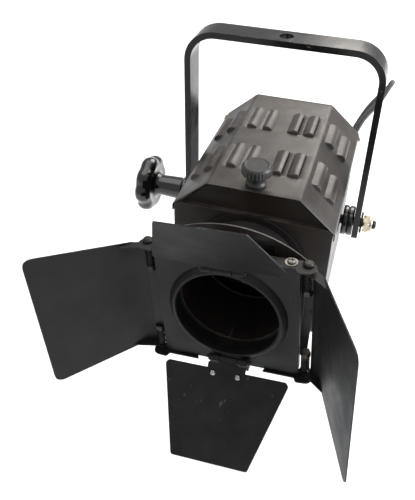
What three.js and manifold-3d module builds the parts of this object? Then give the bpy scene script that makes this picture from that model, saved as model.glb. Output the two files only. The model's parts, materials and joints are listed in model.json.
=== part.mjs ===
// Fresnel spotlight in a hanging yoke, with a rotating four-leaf barn door.
// Millimetres. +Z is up and the beam leaves towards -Y. Every piece is drawn from the tilt axis's centre.
// That axis runs along X. At the end the whole is lowered until the origin lies on the crossbar's top face.
import * as THREE from 'three';
import { mergeVertices } from 'three/addons/utils/BufferGeometryUtils.js';
import Module from 'manifold-3d';

const wasm = await Module();
wasm.setup();

// ---- driving dimensions ----
const GAP = 0.4;                 // clearance between neighbouring pieces
const SHEET = 1.4;               // housing sheet steel
const THIN = 1.1;                // barn door leaf sheet
const BODY_HALF_W = 75.6;        // roof cover, outside
const BODY_FRONT = -103;         // front wall, outer face
const BODY_REAR = 84;            // rear wall, outer face
const FLOOR_Z = -68;             // underside of the housing
const EAVE_Z = 57;               // where the sloping roof meets the sides
const RIDGE_Z = 87;              // flat top of the roof
const RIDGE_HALF_W = 42;
const OPTIC_Z = 7;               // height of the beam axis above the tilt axis
const LENS_R = 54;
const APERTURE_R = 46;           // clear opening of the barn door
const YOKE_HALF_W = 94;          // outside of the yoke legs
const YOKE_TOP = 190;            // outside of the crossbar
const BAR_W = 26.4;              // yoke flat bar
const BAR_T = 6.2;
const HANGING_HOLE_R = 6.6;      // for the clamp's bolt
const DOOR_FACE = -174;          // front face of the barn door plate
const DOOR_HALF = 62;            // half of the square barn door plate
const DOOR_ROLL = -4.4;          // degrees the barn door is turned at rest
const TOP_LEAF_OPEN = 60;        // degrees each leaf is open, 0 = straight ahead
const BOTTOM_LEAF_OPEN = 35;
const LEFT_LEAF_OPEN = 50;
const RIGHT_LEAF_OPEN = 22;

const deg = (angle) => (angle * Math.PI) / 180;

// ---- materials ----
function paint(color, roughness, metalness) {
  return new THREE.MeshStandardMaterial({ color, roughness, metalness });
}

const MAT = {
  housing: paint(0x17171a, 0.5, 0.3),
  inside: paint(0x2a1d1a, 0.8, 0.1),
  yoke: paint(0x0d0d0f, 0.3, 0.3),
  door: paint(0x2c2c2f, 0.6, 0.2),
  plastic: paint(0x0c0c0d, 0.2, 0.0),
  zinc: paint(0xb8b09a, 0.35, 0.9),
  bright: paint(0xd0d2d4, 0.15, 1.0),
  glass: new THREE.MeshStandardMaterial({
    color: 0xcfdcd8, roughness: 0.05, transparent: true, opacity: 0.4,
  }),
  ceramic: paint(0xd8d2c4, 0.7, 0.0),
  rubber: paint(0x6b6c6e, 0.7, 0.0),
};

// ---- solids: closed meshes in, closed meshes out ----
function solid(geometry) {
  const bare = geometry.clone();
  bare.deleteAttribute('normal');
  bare.deleteAttribute('uv');
  const merged = mergeVertices(bare, 1e-4);
  return new wasm.Manifold(new wasm.Mesh({
    numProp: 3,
    vertProperties: new Float32Array(merged.attributes.position.array),
    triVerts: new Uint32Array(merged.index.array),
  }));
}

function geometryOf(manifold) {
  const mesh = manifold.getMesh();
  const geometry = new THREE.BufferGeometry();
  geometry.setAttribute('position', new THREE.BufferAttribute(new Float32Array(mesh.vertProperties), 3));
  geometry.setIndex(new THREE.BufferAttribute(new Uint32Array(mesh.triVerts), 1));
  geometry.computeVertexNormals();
  return geometry;
}

const union = (pieces) => pieces.reduce((sum, piece) => sum.add(piece));
const cut = (body, tools) => tools.reduce((rest, tool) => rest.subtract(tool), body);

function block(x0, x1, y0, y1, z0, z1) {
  const geometry = new THREE.BoxGeometry(x1 - x0, y1 - y0, z1 - z0);
  geometry.translate((x0 + x1) / 2, (y0 + y1) / 2, (z0 + z1) / 2);
  return solid(geometry);
}

// A shape drawn in two axes and extruded along the third, from a to b.
// 'x': drawn in (y, z). 'y': drawn in (x, z). 'z': drawn in (x, y).
function prism(axis, shape, a, b, curveSegments = 12) {
  const geometry = new THREE.ExtrudeGeometry(shape, { depth: b - a, bevelEnabled: false, curveSegments });
  const basis = new THREE.Matrix4();
  if (axis === 'x') basis.set(0, 0, 1, a, 1, 0, 0, 0, 0, 1, 0, 0, 0, 0, 0, 1);
  if (axis === 'y') basis.set(1, 0, 0, 0, 0, 0, -1, b, 0, 1, 0, 0, 0, 0, 0, 1);
  if (axis === 'z') basis.set(1, 0, 0, 0, 0, 1, 0, 0, 0, 0, 1, a, 0, 0, 0, 1);
  geometry.applyMatrix4(basis);
  return solid(geometry);
}

function circleShape(radius, u = 0, v = 0) {
  const shape = new THREE.Shape();
  shape.absarc(u, v, radius, 0, 2 * Math.PI, false);
  return shape;
}

// A round rod along an axis; (u, v) is its centre in the other two axes.
// A full circle is drawn with twice the curve segments asked for, so half of them are asked for here.
const rod = (axis, radius, a, b, u = 0, v = 0, segments = 20) =>
  prism(axis, circleShape(radius, u, v), a, b, segments / 2);

const tube = (axis, outer, inner, a, b, u = 0, v = 0, segments = 20) =>
  rod(axis, outer, a, b, u, v, segments).subtract(rod(axis, inner, a - 1, b + 1, u, v, segments));

function polygonShape(points) {
  return new THREE.Shape(points.map(([u, v]) => new THREE.Vector2(u, v)));
}

// A closed outline with its corners rounded. Each point is [u, v, radius].
function roundedShape(points) {
  const shape = new THREE.Shape();
  points.forEach(([u, v, radius], i) => {
    const corner = new THREE.Vector2(u, v);
    const before = new THREE.Vector2(...points[(i + points.length - 1) % points.length]);
    const after = new THREE.Vector2(...points[(i + 1) % points.length]);
    const start = corner.clone().add(before.sub(corner).setLength(Math.max(radius, 0.01)));
    const end = corner.clone().add(after.sub(corner).setLength(Math.max(radius, 0.01)));
    if (i === 0) shape.moveTo(start.x, start.y);
    else shape.lineTo(start.x, start.y);
    if (radius > 0) shape.quadraticCurveTo(u, v, end.x, end.y);
  });
  shape.closePath();
  return shape;
}

// A turned piece about the X, Y or Z axis. The profile is [radius, height], from axis to axis or closed.
function turned(axis, profile, segments = 32) {
  const points = profile.map(([r, h]) => new THREE.Vector2(r, h));
  if (THREE.ShapeUtils.area(points) < 0) points.reverse();
  const geometry = new THREE.LatheGeometry(points, segments);
  if (axis === 'x') geometry.rotateZ(-Math.PI / 2);
  if (axis === 'z') geometry.rotateX(Math.PI / 2);
  return solid(geometry);
}

const hexRod = (axis, acrossFlats, a, b, u = 0, v = 0) => {
  const corners = [0, 1, 2, 3, 4, 5].map((k) => {
    const angle = deg(60 * k);
    const radius = acrossFlats / Math.sqrt(3);
    return [u + radius * Math.cos(angle), v + radius * Math.sin(angle)];
  });
  return prism(axis, polygonShape(corners), a, b);
};

const root = new THREE.Group();

function addPiece(name, manifold, material, parent = root) {
  const mesh = new THREE.Mesh(geometryOf(manifold), material);
  mesh.name = name;
  parent.add(mesh);
  return mesh;
}

// ---- yoke ----
const YOKE_FOOT = -16;           // lower end of the legs
const YOKE_CORNER = 30;
const TILT_BORE = 5.6;

function yokeOutline(halfWidth, top, corner) {
  const shape = new THREE.Shape();
  shape.moveTo(-halfWidth, YOKE_FOOT);
  shape.lineTo(halfWidth, YOKE_FOOT);
  shape.lineTo(halfWidth, top - corner);
  shape.absarc(halfWidth - corner, top - corner, corner, 0, Math.PI / 2, false);
  shape.lineTo(corner - halfWidth, top);
  shape.absarc(corner - halfWidth, top - corner, corner, Math.PI / 2, Math.PI, false);
  shape.closePath();
  return shape;
}

function buildYoke() {
  const outer = prism('y', yokeOutline(YOKE_HALF_W, YOKE_TOP, YOKE_CORNER), -BAR_W / 2, BAR_W / 2, 10);
  const innerOutline = yokeOutline(YOKE_HALF_W - BAR_T, YOKE_TOP - BAR_T, YOKE_CORNER - BAR_T);
  const inner = prism('y', innerOutline, -BAR_W, BAR_W, 10);
  const below = block(BAR_T - YOKE_HALF_W, YOKE_HALF_W - BAR_T, -BAR_W, BAR_W, YOKE_FOOT - 5, 0);
  // rounded feet, seen along X
  const footOutline = roundedShape([
    [-BAR_W / 2, YOKE_FOOT, 9], [BAR_W / 2, YOKE_FOOT, 9],
    [BAR_W / 2, YOKE_TOP + 5, 0], [-BAR_W / 2, YOKE_TOP + 5, 0],
  ]);
  const feet = prism('x', footOutline, -YOKE_HALF_W - 5, YOKE_HALF_W + 5, 8);
  return cut(outer, [inner, below])
    .intersect(feet)
    .subtract(rod('x', TILT_BORE, -YOKE_HALF_W - 5, YOKE_HALF_W + 5))
    .subtract(rod('z', HANGING_HOLE_R, YOKE_TOP - 20, YOKE_TOP + 5));
}
addPiece('yoke', buildYoke(), MAT.yoke);

// ---- housing sheet metal ----
const ROOF_HINGE = { y: BODY_REAR - 5, z: EAVE_Z - 3.5, bore: 2.3 };
const CHASSIS_HALF_W = BODY_HALF_W - SHEET - GAP;
const WALL_TOP = 60;             // top edge of the front wall
const FOCUS_SLOT = [-42, 22];    // travel slot of the focus knob, along Y

// Six-sided section of the housing, offset inwards by t.
function roofSection(t, skirt) {
  const slopeShift = t * 0.41;
  return [
    [-BODY_HALF_W + t, skirt], [-BODY_HALF_W + t, EAVE_Z - slopeShift],
    [-RIDGE_HALF_W + slopeShift, RIDGE_Z - t], [RIDGE_HALF_W - slopeShift, RIDGE_Z - t],
    [BODY_HALF_W - t, EAVE_Z - slopeShift], [BODY_HALF_W - t, skirt],
  ];
}

function buildChassis() {
  const y0 = BODY_FRONT + SHEET + GAP;
  const y1 = BODY_REAR - SHEET - GAP;
  const outer = block(-CHASSIS_HALF_W, CHASSIS_HALF_W, y0, y1, FLOOR_Z, EAVE_Z - 2);
  const innerX = CHASSIS_HALF_W - SHEET;
  const inner = block(-innerX, innerX, y0 - 5, y1 + 5, FLOOR_Z + SHEET, EAVE_Z + 5);
  const slots = [];
  for (const side of [-1, 1]) {
    for (let k = 0; k < 4; k += 1) {
      const x = side * (28 + 9 * k);
      slots.push(block(x - 1.6, x + 1.6, -60, 50, FLOOR_Z - 1, FLOOR_Z + 4));
    }
  }
  const focus = block(-4.5, 4.5, FOCUS_SLOT[0], FOCUS_SLOT[1], FLOOR_Z - 1, FLOOR_Z + 4);
  const bores = rod('x', 6, -BODY_HALF_W - 5, BODY_HALF_W + 5);
  const hinge = rod('x', ROOF_HINGE.bore, -BODY_HALF_W - 5, BODY_HALF_W + 5, ROOF_HINGE.y, ROOF_HINGE.z);
  return cut(outer, [inner, focus, bores, hinge, ...slots]);
}
addPiece('chassis', buildChassis(), MAT.housing);

function buildFrontWall() {
  const shoulder = CHASSIS_HALF_W - 4.4;
  const outline = [[-CHASSIS_HALF_W, FLOOR_Z], [CHASSIS_HALF_W, FLOOR_Z], [CHASSIS_HALF_W, EAVE_Z - 1],
    [shoulder, WALL_TOP], [-shoulder, WALL_TOP], [-CHASSIS_HALF_W, EAVE_Z - 1]];
  const wall = prism('y', polygonShape(outline), BODY_FRONT, BODY_FRONT + SHEET);
  const lip = block(3 - shoulder, shoulder - 3, BODY_FRONT, BODY_FRONT + 6, WALL_TOP - SHEET, WALL_TOP);
  // set-back gable that closes the space between the lip and the roof
  const inset = 3.4;
  const gableOutline = polygonShape([
    [-66, WALL_TOP - SHEET], [66, WALL_TOP - SHEET], [66, WALL_TOP + 0.5],
    [RIDGE_HALF_W - inset * 0.41, RIDGE_Z - inset], [inset * 0.41 - RIDGE_HALF_W, RIDGE_Z - inset],
    [-66, WALL_TOP + 0.5],
  ]);
  const gable = prism('y', gableOutline, BODY_FRONT + 4.8, BODY_FRONT + 6);
  return union([wall, lip, gable])
    .subtract(rod('y', APERTURE_R, BODY_FRONT - 5, BODY_FRONT + 10, 0, OPTIC_Z, 24));
}
addPiece('front_wall', buildFrontWall(), MAT.housing);

const GLAND = { x: 48, z: -4, radius: 8 };

function buildRearWall() {
  const outline = [[-CHASSIS_HALF_W, FLOOR_Z], [CHASSIS_HALF_W, FLOOR_Z],
    ...roofSection(SHEET + GAP + 1, EAVE_Z).slice(1, 5).reverse()];
  const wall = prism('y', polygonShape(outline), BODY_REAR - SHEET, BODY_REAR);
  const vents = [];
  for (let k = 0; k < 5; k += 1) {
    vents.push(block(-26, 26, BODY_REAR - 5, BODY_REAR + 5, 28 + 9 * k, 31.5 + 9 * k));
    vents.push(block(-40, 22, BODY_REAR - 5, BODY_REAR + 5, -58 + 9 * k, -54.5 + 9 * k));
  }
  return cut(wall, [...vents, rod('y', GLAND.radius + GAP, BODY_REAR - 5, BODY_REAR + 5, GLAND.x, GLAND.z)]);
}
addPiece('rear_wall', buildRearWall(), MAT.housing);

// ---- roof cover with pressed louvres ----
const LOUVRE = { length: 42, width: 11, height: 4.2, slit: 1.6 };
const LOUVRE_ROWS = [-50, 28];   // centres along Y
const ROOF_LOUVRE_X = [18, 34];  // slit edges across the flat top
const SLOPE_LOUVRE = [16.5, 34]; // slit edges down the slope from the ridge
const SLOPE_ANGLE = Math.atan2(RIDGE_Z - EAVE_Z, BODY_HALF_W - RIDGE_HALF_W);

// One louvre in its own frame. The slit is at u = 0, the pressing runs back to u = -width,
// and w points out of the sheet.
function louvreSection(lift, slant) {
  return polygonShape([[0, -slant], [0, lift], [-LOUVRE.width * 0.45, lift * 0.82], [-LOUVRE.width, -slant]]);
}

function placeLouvre(manifold, u, y, side, angle, originX, originZ) {
  // (u, w) to (x, z): u runs outwards along the surface, w along its normal
  const c = Math.cos(angle);
  const s = Math.sin(angle);
  const flip = side < 0 ? -1 : 1;
  const matrix = new THREE.Matrix4().set(
    flip * c, 0, flip * s, flip * (originX + u * c),
    0, 1, 0, y,
    -s, 0, c, originZ - u * s,
    0, 0, 0, 1,
  );
  const mesh = manifold.getMesh();
  const geometry = new THREE.BufferGeometry();
  geometry.setAttribute('position', new THREE.BufferAttribute(new Float32Array(mesh.vertProperties), 3));
  const index = new Uint32Array(mesh.triVerts);
  if (flip < 0) index.reverse();
  geometry.setIndex(new THREE.BufferAttribute(index, 1));
  geometry.applyMatrix4(matrix);
  return solid(geometry);
}

function louvres() {
  const half = LOUVRE.length / 2;
  const shell = prism('y', louvreSection(LOUVRE.height, 0.5), -half, half);
  const hollow = prism('y', polygonShape([[5, 0.2 - SHEET * 2], [5, LOUVRE.height - 1.1],
    [0, LOUVRE.height - 1.1], [-LOUVRE.width * 0.45, LOUVRE.height * 0.55],
    [-LOUVRE.width * 0.75, 0.2 - SHEET * 2]]), 1.1 - half, half - 1.1);
  const reachOutline = polygonShape([[LOUVRE.slit, -9], [LOUVRE.slit, 9], [-30, 9], [-30, -9]]);
  const reach = prism('y', reachOutline, -half, half);
  const opening = hollow.intersect(reach);
  const raised = [];
  const cuts = [];
  for (const side of [-1, 1]) {
    for (const y of LOUVRE_ROWS) {
      for (const u of ROOF_LOUVRE_X) {
        raised.push(placeLouvre(shell, u, y, side, 0, 0, RIDGE_Z));
        cuts.push(placeLouvre(opening, u, y, side, 0, 0, RIDGE_Z));
      }
      for (const u of SLOPE_LOUVRE) {
        raised.push(placeLouvre(shell, u, y, side, SLOPE_ANGLE, RIDGE_HALF_W, RIDGE_Z));
        cuts.push(placeLouvre(opening, u, y, side, SLOPE_ANGLE, RIDGE_HALF_W, RIDGE_Z));
      }
    }
  }
  return { raised, cuts };
}

const ROOF_KNOB_Y = -91;

function buildRoofCover() {
  const skirt = EAVE_Z - 7;
  const outer = prism('y', polygonShape(roofSection(0, skirt)), BODY_FRONT, BODY_REAR);
  const inner = prism('y', polygonShape(roofSection(SHEET, skirt - 5)), BODY_FRONT - 5, BODY_REAR + 5);
  const { raised, cuts } = louvres();
  const sheet = cut(outer, [inner]);
  const stud = rod('z', 3.4, RIDGE_Z - 5, RIDGE_Z + 5, 0, ROOF_KNOB_Y);
  const hingeBore = rod('x', ROOF_HINGE.bore, -BODY_HALF_W - 5, BODY_HALF_W + 5, ROOF_HINGE.y, ROOF_HINGE.z);
  return cut(union([sheet, ...raised]), [...cuts, stud, hingeBore]);
}
addPiece('roof_cover', buildRoofCover(), MAT.housing);

// rod through both sides that the rear of the roof cover turns on, with a head at each end
function buildRoofHingeRod() {
  const rodBody = rod('x', 1.9, -BODY_HALF_W - 0.6, BODY_HALF_W + 0.6, ROOF_HINGE.y, ROOF_HINGE.z, 16);
  const heads = [-1, 1].map((side) => {
    const ends = [side * (BODY_HALF_W + GAP), side * (BODY_HALF_W + 2)].sort((a, b) => a - b);
    return rod('x', 3.6, ends[0], ends[1], ROOF_HINGE.y, ROOF_HINGE.z, 16);
  });
  return union([rodBody, ...heads]);
}
addPiece('roof_hinge_rod', buildRoofHingeRod(), MAT.zinc);

// thumb knob that holds the front of the roof cover down
function buildRoofKnob() {
  const z = RIDGE_Z + GAP;
  const profile = [[0, z - 12], [2.9, z - 12], [2.9, z], [9.5, z], [9.5, z + 2], [7, z + 5], [7, z + 11],
    [13, z + 13], [14, z + 14.5], [14, z + 19.5], [12.5, z + 21], [4, z + 21.6], [0, z + 21.6]];
  return turned('z', profile, 28).translate([0, ROOF_KNOB_Y, 0]);
}
addPiece('roof_knob', buildRoofKnob(), MAT.plastic);

// bracket inside the front wall that takes the roof knob's thread
function buildKnobBracket() {
  const top = RIDGE_Z - SHEET - GAP;
  const wallBack = BODY_FRONT + SHEET + GAP;
  const legFront = BODY_FRONT + 6.5;
  const low = WALL_TOP - 6.4;
  const shelf = block(-11, 11, legFront, ROOF_KNOB_Y + 5, top - 2, top);
  const leg = block(-11, 11, legFront, legFront + 1.5, low, top);
  const foot = block(-11, 11, wallBack, legFront + 1.5, low, low + 1.5);
  const flange = block(-11, 11, wallBack, wallBack + 1.5, low, WALL_TOP - SHEET - GAP);
  // the stud's hole is open to the rear, so that it can leave with the roof cover
  const slot = block(-3.3, 3.3, ROOF_KNOB_Y, ROOF_KNOB_Y + 10, top - 5, top + 5);
  return cut(union([shelf, leg, foot, flange]), [slot, rod('z', 3.3, top - 5, top + 5, 0, ROOF_KNOB_Y)]);
}
addPiece('knob_bracket', buildKnobBracket(), MAT.inside);

// ---- lens and its ring ----
const LENS_Y = BODY_FRONT + 17;  // front face of the lens ring

function buildLens() {
  // cut into rings at the front and flat at the back: [radius, distance behind the ring's front face]
  const steps = 6;
  const rimInner = LENS_R - 4;
  const rimOuter = LENS_R - GAP;
  const frontAt = 3;
  const backAt = 9;
  const profile = [];
  for (let k = 0; k < steps; k += 1) {
    profile.push([(k / steps) * rimInner, frontAt]);
    profile.push([((k + 1) / steps) * rimInner, frontAt + 1.2 + 0.35 * k]);
  }
  profile.push([rimInner, 5], [rimOuter, 5], [rimOuter, backAt], [0, backAt]);
  return turned('y', profile, 36).translate([0, LENS_Y, OPTIC_Z]);
}
addPiece('fresnel_lens', buildLens(), MAT.glass);

function buildLensRing() {
  const profile = [[LENS_R - 5, 0], [LENS_R + 3, 0], [LENS_R + 3, 12], [LENS_R, 12], [LENS_R, 2.2],
    [LENS_R - 5, 2.2], [LENS_R - 5, 0]];
  return turned('y', profile, 36).translate([0, LENS_Y, OPTIC_Z]);
}
addPiece('lens_ring', buildLensRing(), MAT.inside);

// three-sided frame that stands the lens ring on the chassis floor
function buildLensFrame() {
  const y0 = LENS_Y + 12 + GAP;
  const plate = block(-66, 66, y0, y0 + SHEET, FLOOR_Z + SHEET + GAP, RIDGE_Z - 30);
  const foot = block(-66, 66, y0, y0 + 12, FLOOR_Z + SHEET + GAP, FLOOR_Z + 2 * SHEET + GAP);
  return plate.add(foot).subtract(rod('y', LENS_R - 6, y0 - 5, y0 + 5, 0, OPTIC_Z, 32));
}
addPiece('lens_frame', buildLensFrame(), MAT.inside);

// heat shield under the louvres, on four tabs screwed to the chassis sides
const SHIELD = { edgeZ: 56, topZ: 71, edgeX: 58, topX: 30 };

function buildHeatShield() {
  const { edgeZ, topZ, edgeX, topX } = SHIELD;
  const points = [[-edgeX, edgeZ], [-topX, topZ], [topX, topZ], [edgeX, edgeZ],
    [edgeX, edgeZ - SHEET], [topX, topZ - SHEET], [-topX, topZ - SHEET], [-edgeX, edgeZ - SHEET]];
  const sheet = prism('y', polygonShape(points), -45, 76);
  const wall = CHASSIS_HALF_W - SHEET - GAP;
  const tabs = [];
  for (const y of [-30, 40]) {
    tabs.push(block(edgeX - 1, wall, y, y + 20, edgeZ - SHEET, edgeZ));
    tabs.push(block(wall - SHEET, wall, y, y + 20, edgeZ - 16, edgeZ));
  }
  return union([sheet, ...tabs, ...tabs.map((tab) => tab.mirror([1, 0, 0]))]);
}
addPiece('heat_shield', buildHeatShield(), MAT.inside);

// ---- lamp carriage on two guide rods ----
const GUIDE = { x: 40, z: FLOOR_Z + 12, radius: 3 };

for (const [name, side] of [['guide_rod_left', -1], ['guide_rod_right', 1]]) {
  const start = LENS_Y + 16 + SHEET;
  const end = BODY_REAR - SHEET - GAP;
  addPiece(name, rod('y', GUIDE.radius, start, end, side * GUIDE.x, GUIDE.z, 16), MAT.bright);
}

const CARRIAGE_Y = -10;          // centre of the carriage at rest

function buildCarriage() {
  const deck = block(-50, 50, CARRIAGE_Y - 20, CARRIAGE_Y + 20, GUIDE.z + 5, GUIDE.z + 8);
  const ears = [];
  for (const side of [-1, 1]) {
    for (const y of [CARRIAGE_Y - 20, CARRIAGE_Y + 17]) {
      ears.push(block(side * GUIDE.x - 7, side * GUIDE.x + 7, y, y + 3, GUIDE.z - 6, GUIDE.z + 6));
    }
  }
  const bores = [-1, 1].map((side) =>
    rod('y', GUIDE.radius + GAP, CARRIAGE_Y - 30, CARRIAGE_Y + 30, side * GUIDE.x, GUIDE.z));
  const stud = rod('z', 3.6, GUIDE.z, GUIDE.z + 12, 0, CARRIAGE_Y);
  const back = block(-30, 30, CARRIAGE_Y + 18, CARRIAGE_Y + 20, GUIDE.z + 6, OPTIC_Z + 6);
  return cut(union([deck, back, ...ears]), [...bores, stud]);
}
addPiece('lamp_carriage', buildCarriage(), MAT.zinc);

function buildReflector() {
  // a spherical dish of radius 34 opening towards the lens
  const radius = 34;
  const profile = [];
  const steps = 6;
  for (let k = 0; k <= steps; k += 1) {
    const angle = deg(58 * (k / steps));
    profile.push([radius * Math.sin(angle), radius * Math.cos(angle)]);
  }
  for (let k = steps; k >= 0; k -= 1) {
    const angle = deg(58 * (k / steps));
    profile.push([(radius - 1.5) * Math.sin(angle), (radius - 1.5) * Math.cos(angle)]);
  }
  profile[0][0] = 0;
  profile[profile.length - 1][0] = 0;
  return turned('y', profile, 28).translate([0, CARRIAGE_Y + 18 - radius - GAP, OPTIC_Z]);
}
addPiece('reflector', buildReflector(), MAT.bright);

const LAMP_Y = CARRIAGE_Y - 12;

function buildLampHolder() {
  const base = block(-15, 15, LAMP_Y - 10, LAMP_Y + 10, GUIDE.z + 8 + GAP, GUIDE.z + 24);
  const neck = rod('z', 9, GUIDE.z + 22, GUIDE.z + 30, 0, LAMP_Y);
  const pins = [-3.2, 3.2].map((x) => rod('z', 1.3, GUIDE.z + 20, GUIDE.z + 40, x, LAMP_Y, 12));
  return cut(base.add(neck), pins);
}
addPiece('lamp_holder', buildLampHolder(), MAT.ceramic);

function buildLamp() {
  const z = GUIDE.z + 30 + GAP;
  const profile = [[0, z], [6, z], [7, z + 3], [7.5, z + 22], [6.5, z + 36], [3, z + 42], [0, z + 43]];
  const bulb = turned('z', profile, 24).translate([0, LAMP_Y, 0]);
  const pins = [-3.2, 3.2].map((x) => rod('z', 0.9, z - 8, z + 2, x, LAMP_Y, 10));
  return union([bulb, ...pins]);
}
addPiece('lamp', buildLamp(), MAT.glass);

// knurled knob under the floor that slides the carriage and locks it
function buildFocusKnob() {
  const top = FLOOR_Z - GAP;
  const profile = [[0, top - 26], [9, top - 26], [11, top - 24], [11, top - 12], [7, top - 9], [7, top - 3],
    [9, top - 2], [9, top], [3.2, top], [3.2, GUIDE.z + 7.5], [0, GUIDE.z + 7.5]];
  return turned('z', profile, 24).translate([0, CARRIAGE_Y, 0]);
}
addPiece('focus_knob', buildFocusKnob(), MAT.plastic);

// ---- tilt pivots ----
const LEG_IN = YOKE_HALF_W - BAR_T;

// threaded boss inside each side of the chassis
function buildBoss(side) {
  const inner = CHASSIS_HALF_W - SHEET - GAP;
  const plate = block(inner - 3, inner, -14, 14, -14, 14);
  const boss = rod('x', 9, inner - 12, inner - 2);
  const both = plate.add(boss).subtract(rod('x', 5.2, inner - 20, inner + 5));
  return side > 0 ? both : both.mirror([1, 0, 0]);
}
addPiece('pivot_boss_left', buildBoss(-1), MAT.zinc);
addPiece('pivot_boss_right', buildBoss(1), MAT.zinc);

// spacers between the housing and the legs: the right one is a stack of two discs
function buildSpacer(side) {
  const a = BODY_HALF_W + GAP;
  const b = LEG_IN - GAP;
  const profile = side > 0
    ? [[5.3, a], [14.8, a], [15.8, a + 1], [15.8, a + 4.5], [13.5, a + 5.5], [15.8, a + 6.5], [15.8, b - 1],
      [14.8, b], [5.3, b], [5.3, a]]
    : [[5.3, a], [11, a], [11, b - 3], [15.8, b - 3], [15.8, b], [5.3, b], [5.3, a]];
  const spacer = turned('x', profile, 24);
  return side > 0 ? spacer : spacer.mirror([1, 0, 0]);
}
addPiece('spacer_left', buildSpacer(-1), MAT.plastic);
addPiece('spacer_right', buildSpacer(1), MAT.plastic);

const PIVOT_BOLT_R = 4.8;
const NUT = { width: 17, from: YOKE_HALF_W + 3.4, to: YOKE_HALF_W + 12.6 };

function buildPivotBolt() {
  const shank = rod('x', PIVOT_BOLT_R, CHASSIS_HALF_W - SHEET - GAP - 14, NUT.to + 4);
  const head = hexRod('x', 16, CHASSIS_HALF_W - SHEET - GAP - 20, CHASSIS_HALF_W - SHEET - GAP - 13.2);
  return shank.add(head);
}
addPiece('pivot_bolt', buildPivotBolt(), MAT.zinc);

addPiece('pivot_washer', tube('x', 11, PIVOT_BOLT_R + GAP, YOKE_HALF_W + GAP, YOKE_HALF_W + 2.6), MAT.zinc);

function buildLockNut() {
  const hex = hexRod('x', NUT.width, NUT.from, NUT.to - 3);
  const collar = rod('x', 7.6, NUT.to - 3.5, NUT.to);
  return hex.add(collar).subtract(rod('x', PIVOT_BOLT_R + GAP, NUT.from - 5, NUT.to + 5));
}
addPiece('lock_nut', buildLockNut(), MAT.zinc);

// ---- tilt handwheel ----
const WHEEL = { radius: 32, lobes: 8 };

function buildHandwheel() {
  // built towards +X, then mirrored to the left side
  const x0 = YOKE_HALF_W + GAP + 2;
  const profile = [[5.2, x0], [14.5, x0], [14.5, x0 + 4], [12.5, x0 + 6], [11.5, x0 + 31], [13.5, x0 + 36],
    [WHEEL.radius - 5, x0 + 39], [WHEEL.radius - 1, x0 + 41], [WHEEL.radius, x0 + 45],
    [WHEEL.radius - 1, x0 + 50], [WHEEL.radius - 5, x0 + 53], [WHEEL.radius - 9, x0 + 52],
    [WHEEL.radius - 11, x0 + 49], [11, x0 + 49],
    [9, x0 + 53], [0, x0 + 54], [0, x0 + 30], [5.2, x0 + 30], [5.2, x0]];
  const body = turned('x', profile, 24);
  const recesses = [];
  for (let k = 0; k < WHEEL.lobes; k += 1) {
    const angle = deg((360 / WHEEL.lobes) * (k + 0.5));
    recesses.push(rod('x', 5, x0 + 36, x0 + 60,
      (WHEEL.radius + 2) * Math.cos(angle), (WHEEL.radius + 2) * Math.sin(angle), 10));
  }
  return cut(body, recesses).mirror([1, 0, 0]);
}
addPiece('tilt_handwheel', buildHandwheel(), MAT.plastic);

const wheelStart = YOKE_HALF_W + GAP + 2;
addPiece('handwheel_stud',
  rod('x', PIVOT_BOLT_R, -wheelStart - 28, 14 + SHEET + GAP - CHASSIS_HALF_W), MAT.zinc);
addPiece('handwheel_washer',
  tube('x', 13, PIVOT_BOLT_R + GAP, -YOKE_HALF_W - 2, -YOKE_HALF_W - GAP), MAT.zinc);

// ---- front hood and bezel that carry the accessories ----
const BEZEL = { front: -159.6, thick: 1.6, halfW: 76, domeR: 100, domeZ: -9.5, shoulder: 62 };

function buildHood() {
  const inner = APERTURE_R + 1;
  const flange = tube('y', APERTURE_R + 9, inner, BODY_FRONT - 3, BODY_FRONT - GAP, 0, 0, 40);
  const wall = tube('y', inner + 1.6, inner, BEZEL.front + BEZEL.thick + GAP, BODY_FRONT - 2, 0, 0, 40);
  return flange.add(wall).translate([0, 0, OPTIC_Z]);
}
addPiece('front_hood', buildHood(), MAT.housing);

function buildBezel() {
  const shape = new THREE.Shape();
  const rise = Math.sqrt(BEZEL.domeR ** 2 - BEZEL.shoulder ** 2) + BEZEL.domeZ;
  const start = Math.acos(BEZEL.shoulder / BEZEL.domeR);
  shape.moveTo(-50, -62);
  shape.lineTo(50, -62);
  shape.lineTo(62, -24);
  shape.lineTo(BEZEL.halfW, 8);
  shape.lineTo(BEZEL.halfW, 54);
  shape.lineTo(BEZEL.shoulder, rise);
  shape.absarc(0, BEZEL.domeZ, BEZEL.domeR, start, Math.PI - start, false);
  shape.lineTo(-BEZEL.halfW, 54);
  shape.lineTo(-BEZEL.halfW, 8);
  shape.lineTo(-62, -24);
  shape.closePath();
  const plate = prism('y', shape, BEZEL.front, BEZEL.front + BEZEL.thick, 12);
  return plate.subtract(rod('y', APERTURE_R + 1, BEZEL.front - 5, BEZEL.front + 5, 0, OPTIC_Z, 40));
}
addPiece('front_bezel', buildBezel(), MAT.housing);

// channels on the bezel that the barn door's carrier plate slides into, and the gate that shuts them
const CARRIER = { half: 61, thick: 1.4, front: BEZEL.front - 3.2 };
const CHANNEL_DEPTH = 5;

function buildRunner(length) {
  // an S-shaped strip lying along X at z = 0: foot on the bezel, wall, lip in front of the carrier
  const back = BEZEL.front - GAP;
  const front = back - CHANNEL_DEPTH;
  const foot = block(-length / 2, length / 2, back - 1, back, -9, 0);
  const wall = block(-length / 2, length / 2, front, back, -1, 0);
  const lip = block(-length / 2, length / 2, front, front + 1, -1, 5);
  return union([foot, wall, lip]);
}

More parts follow.
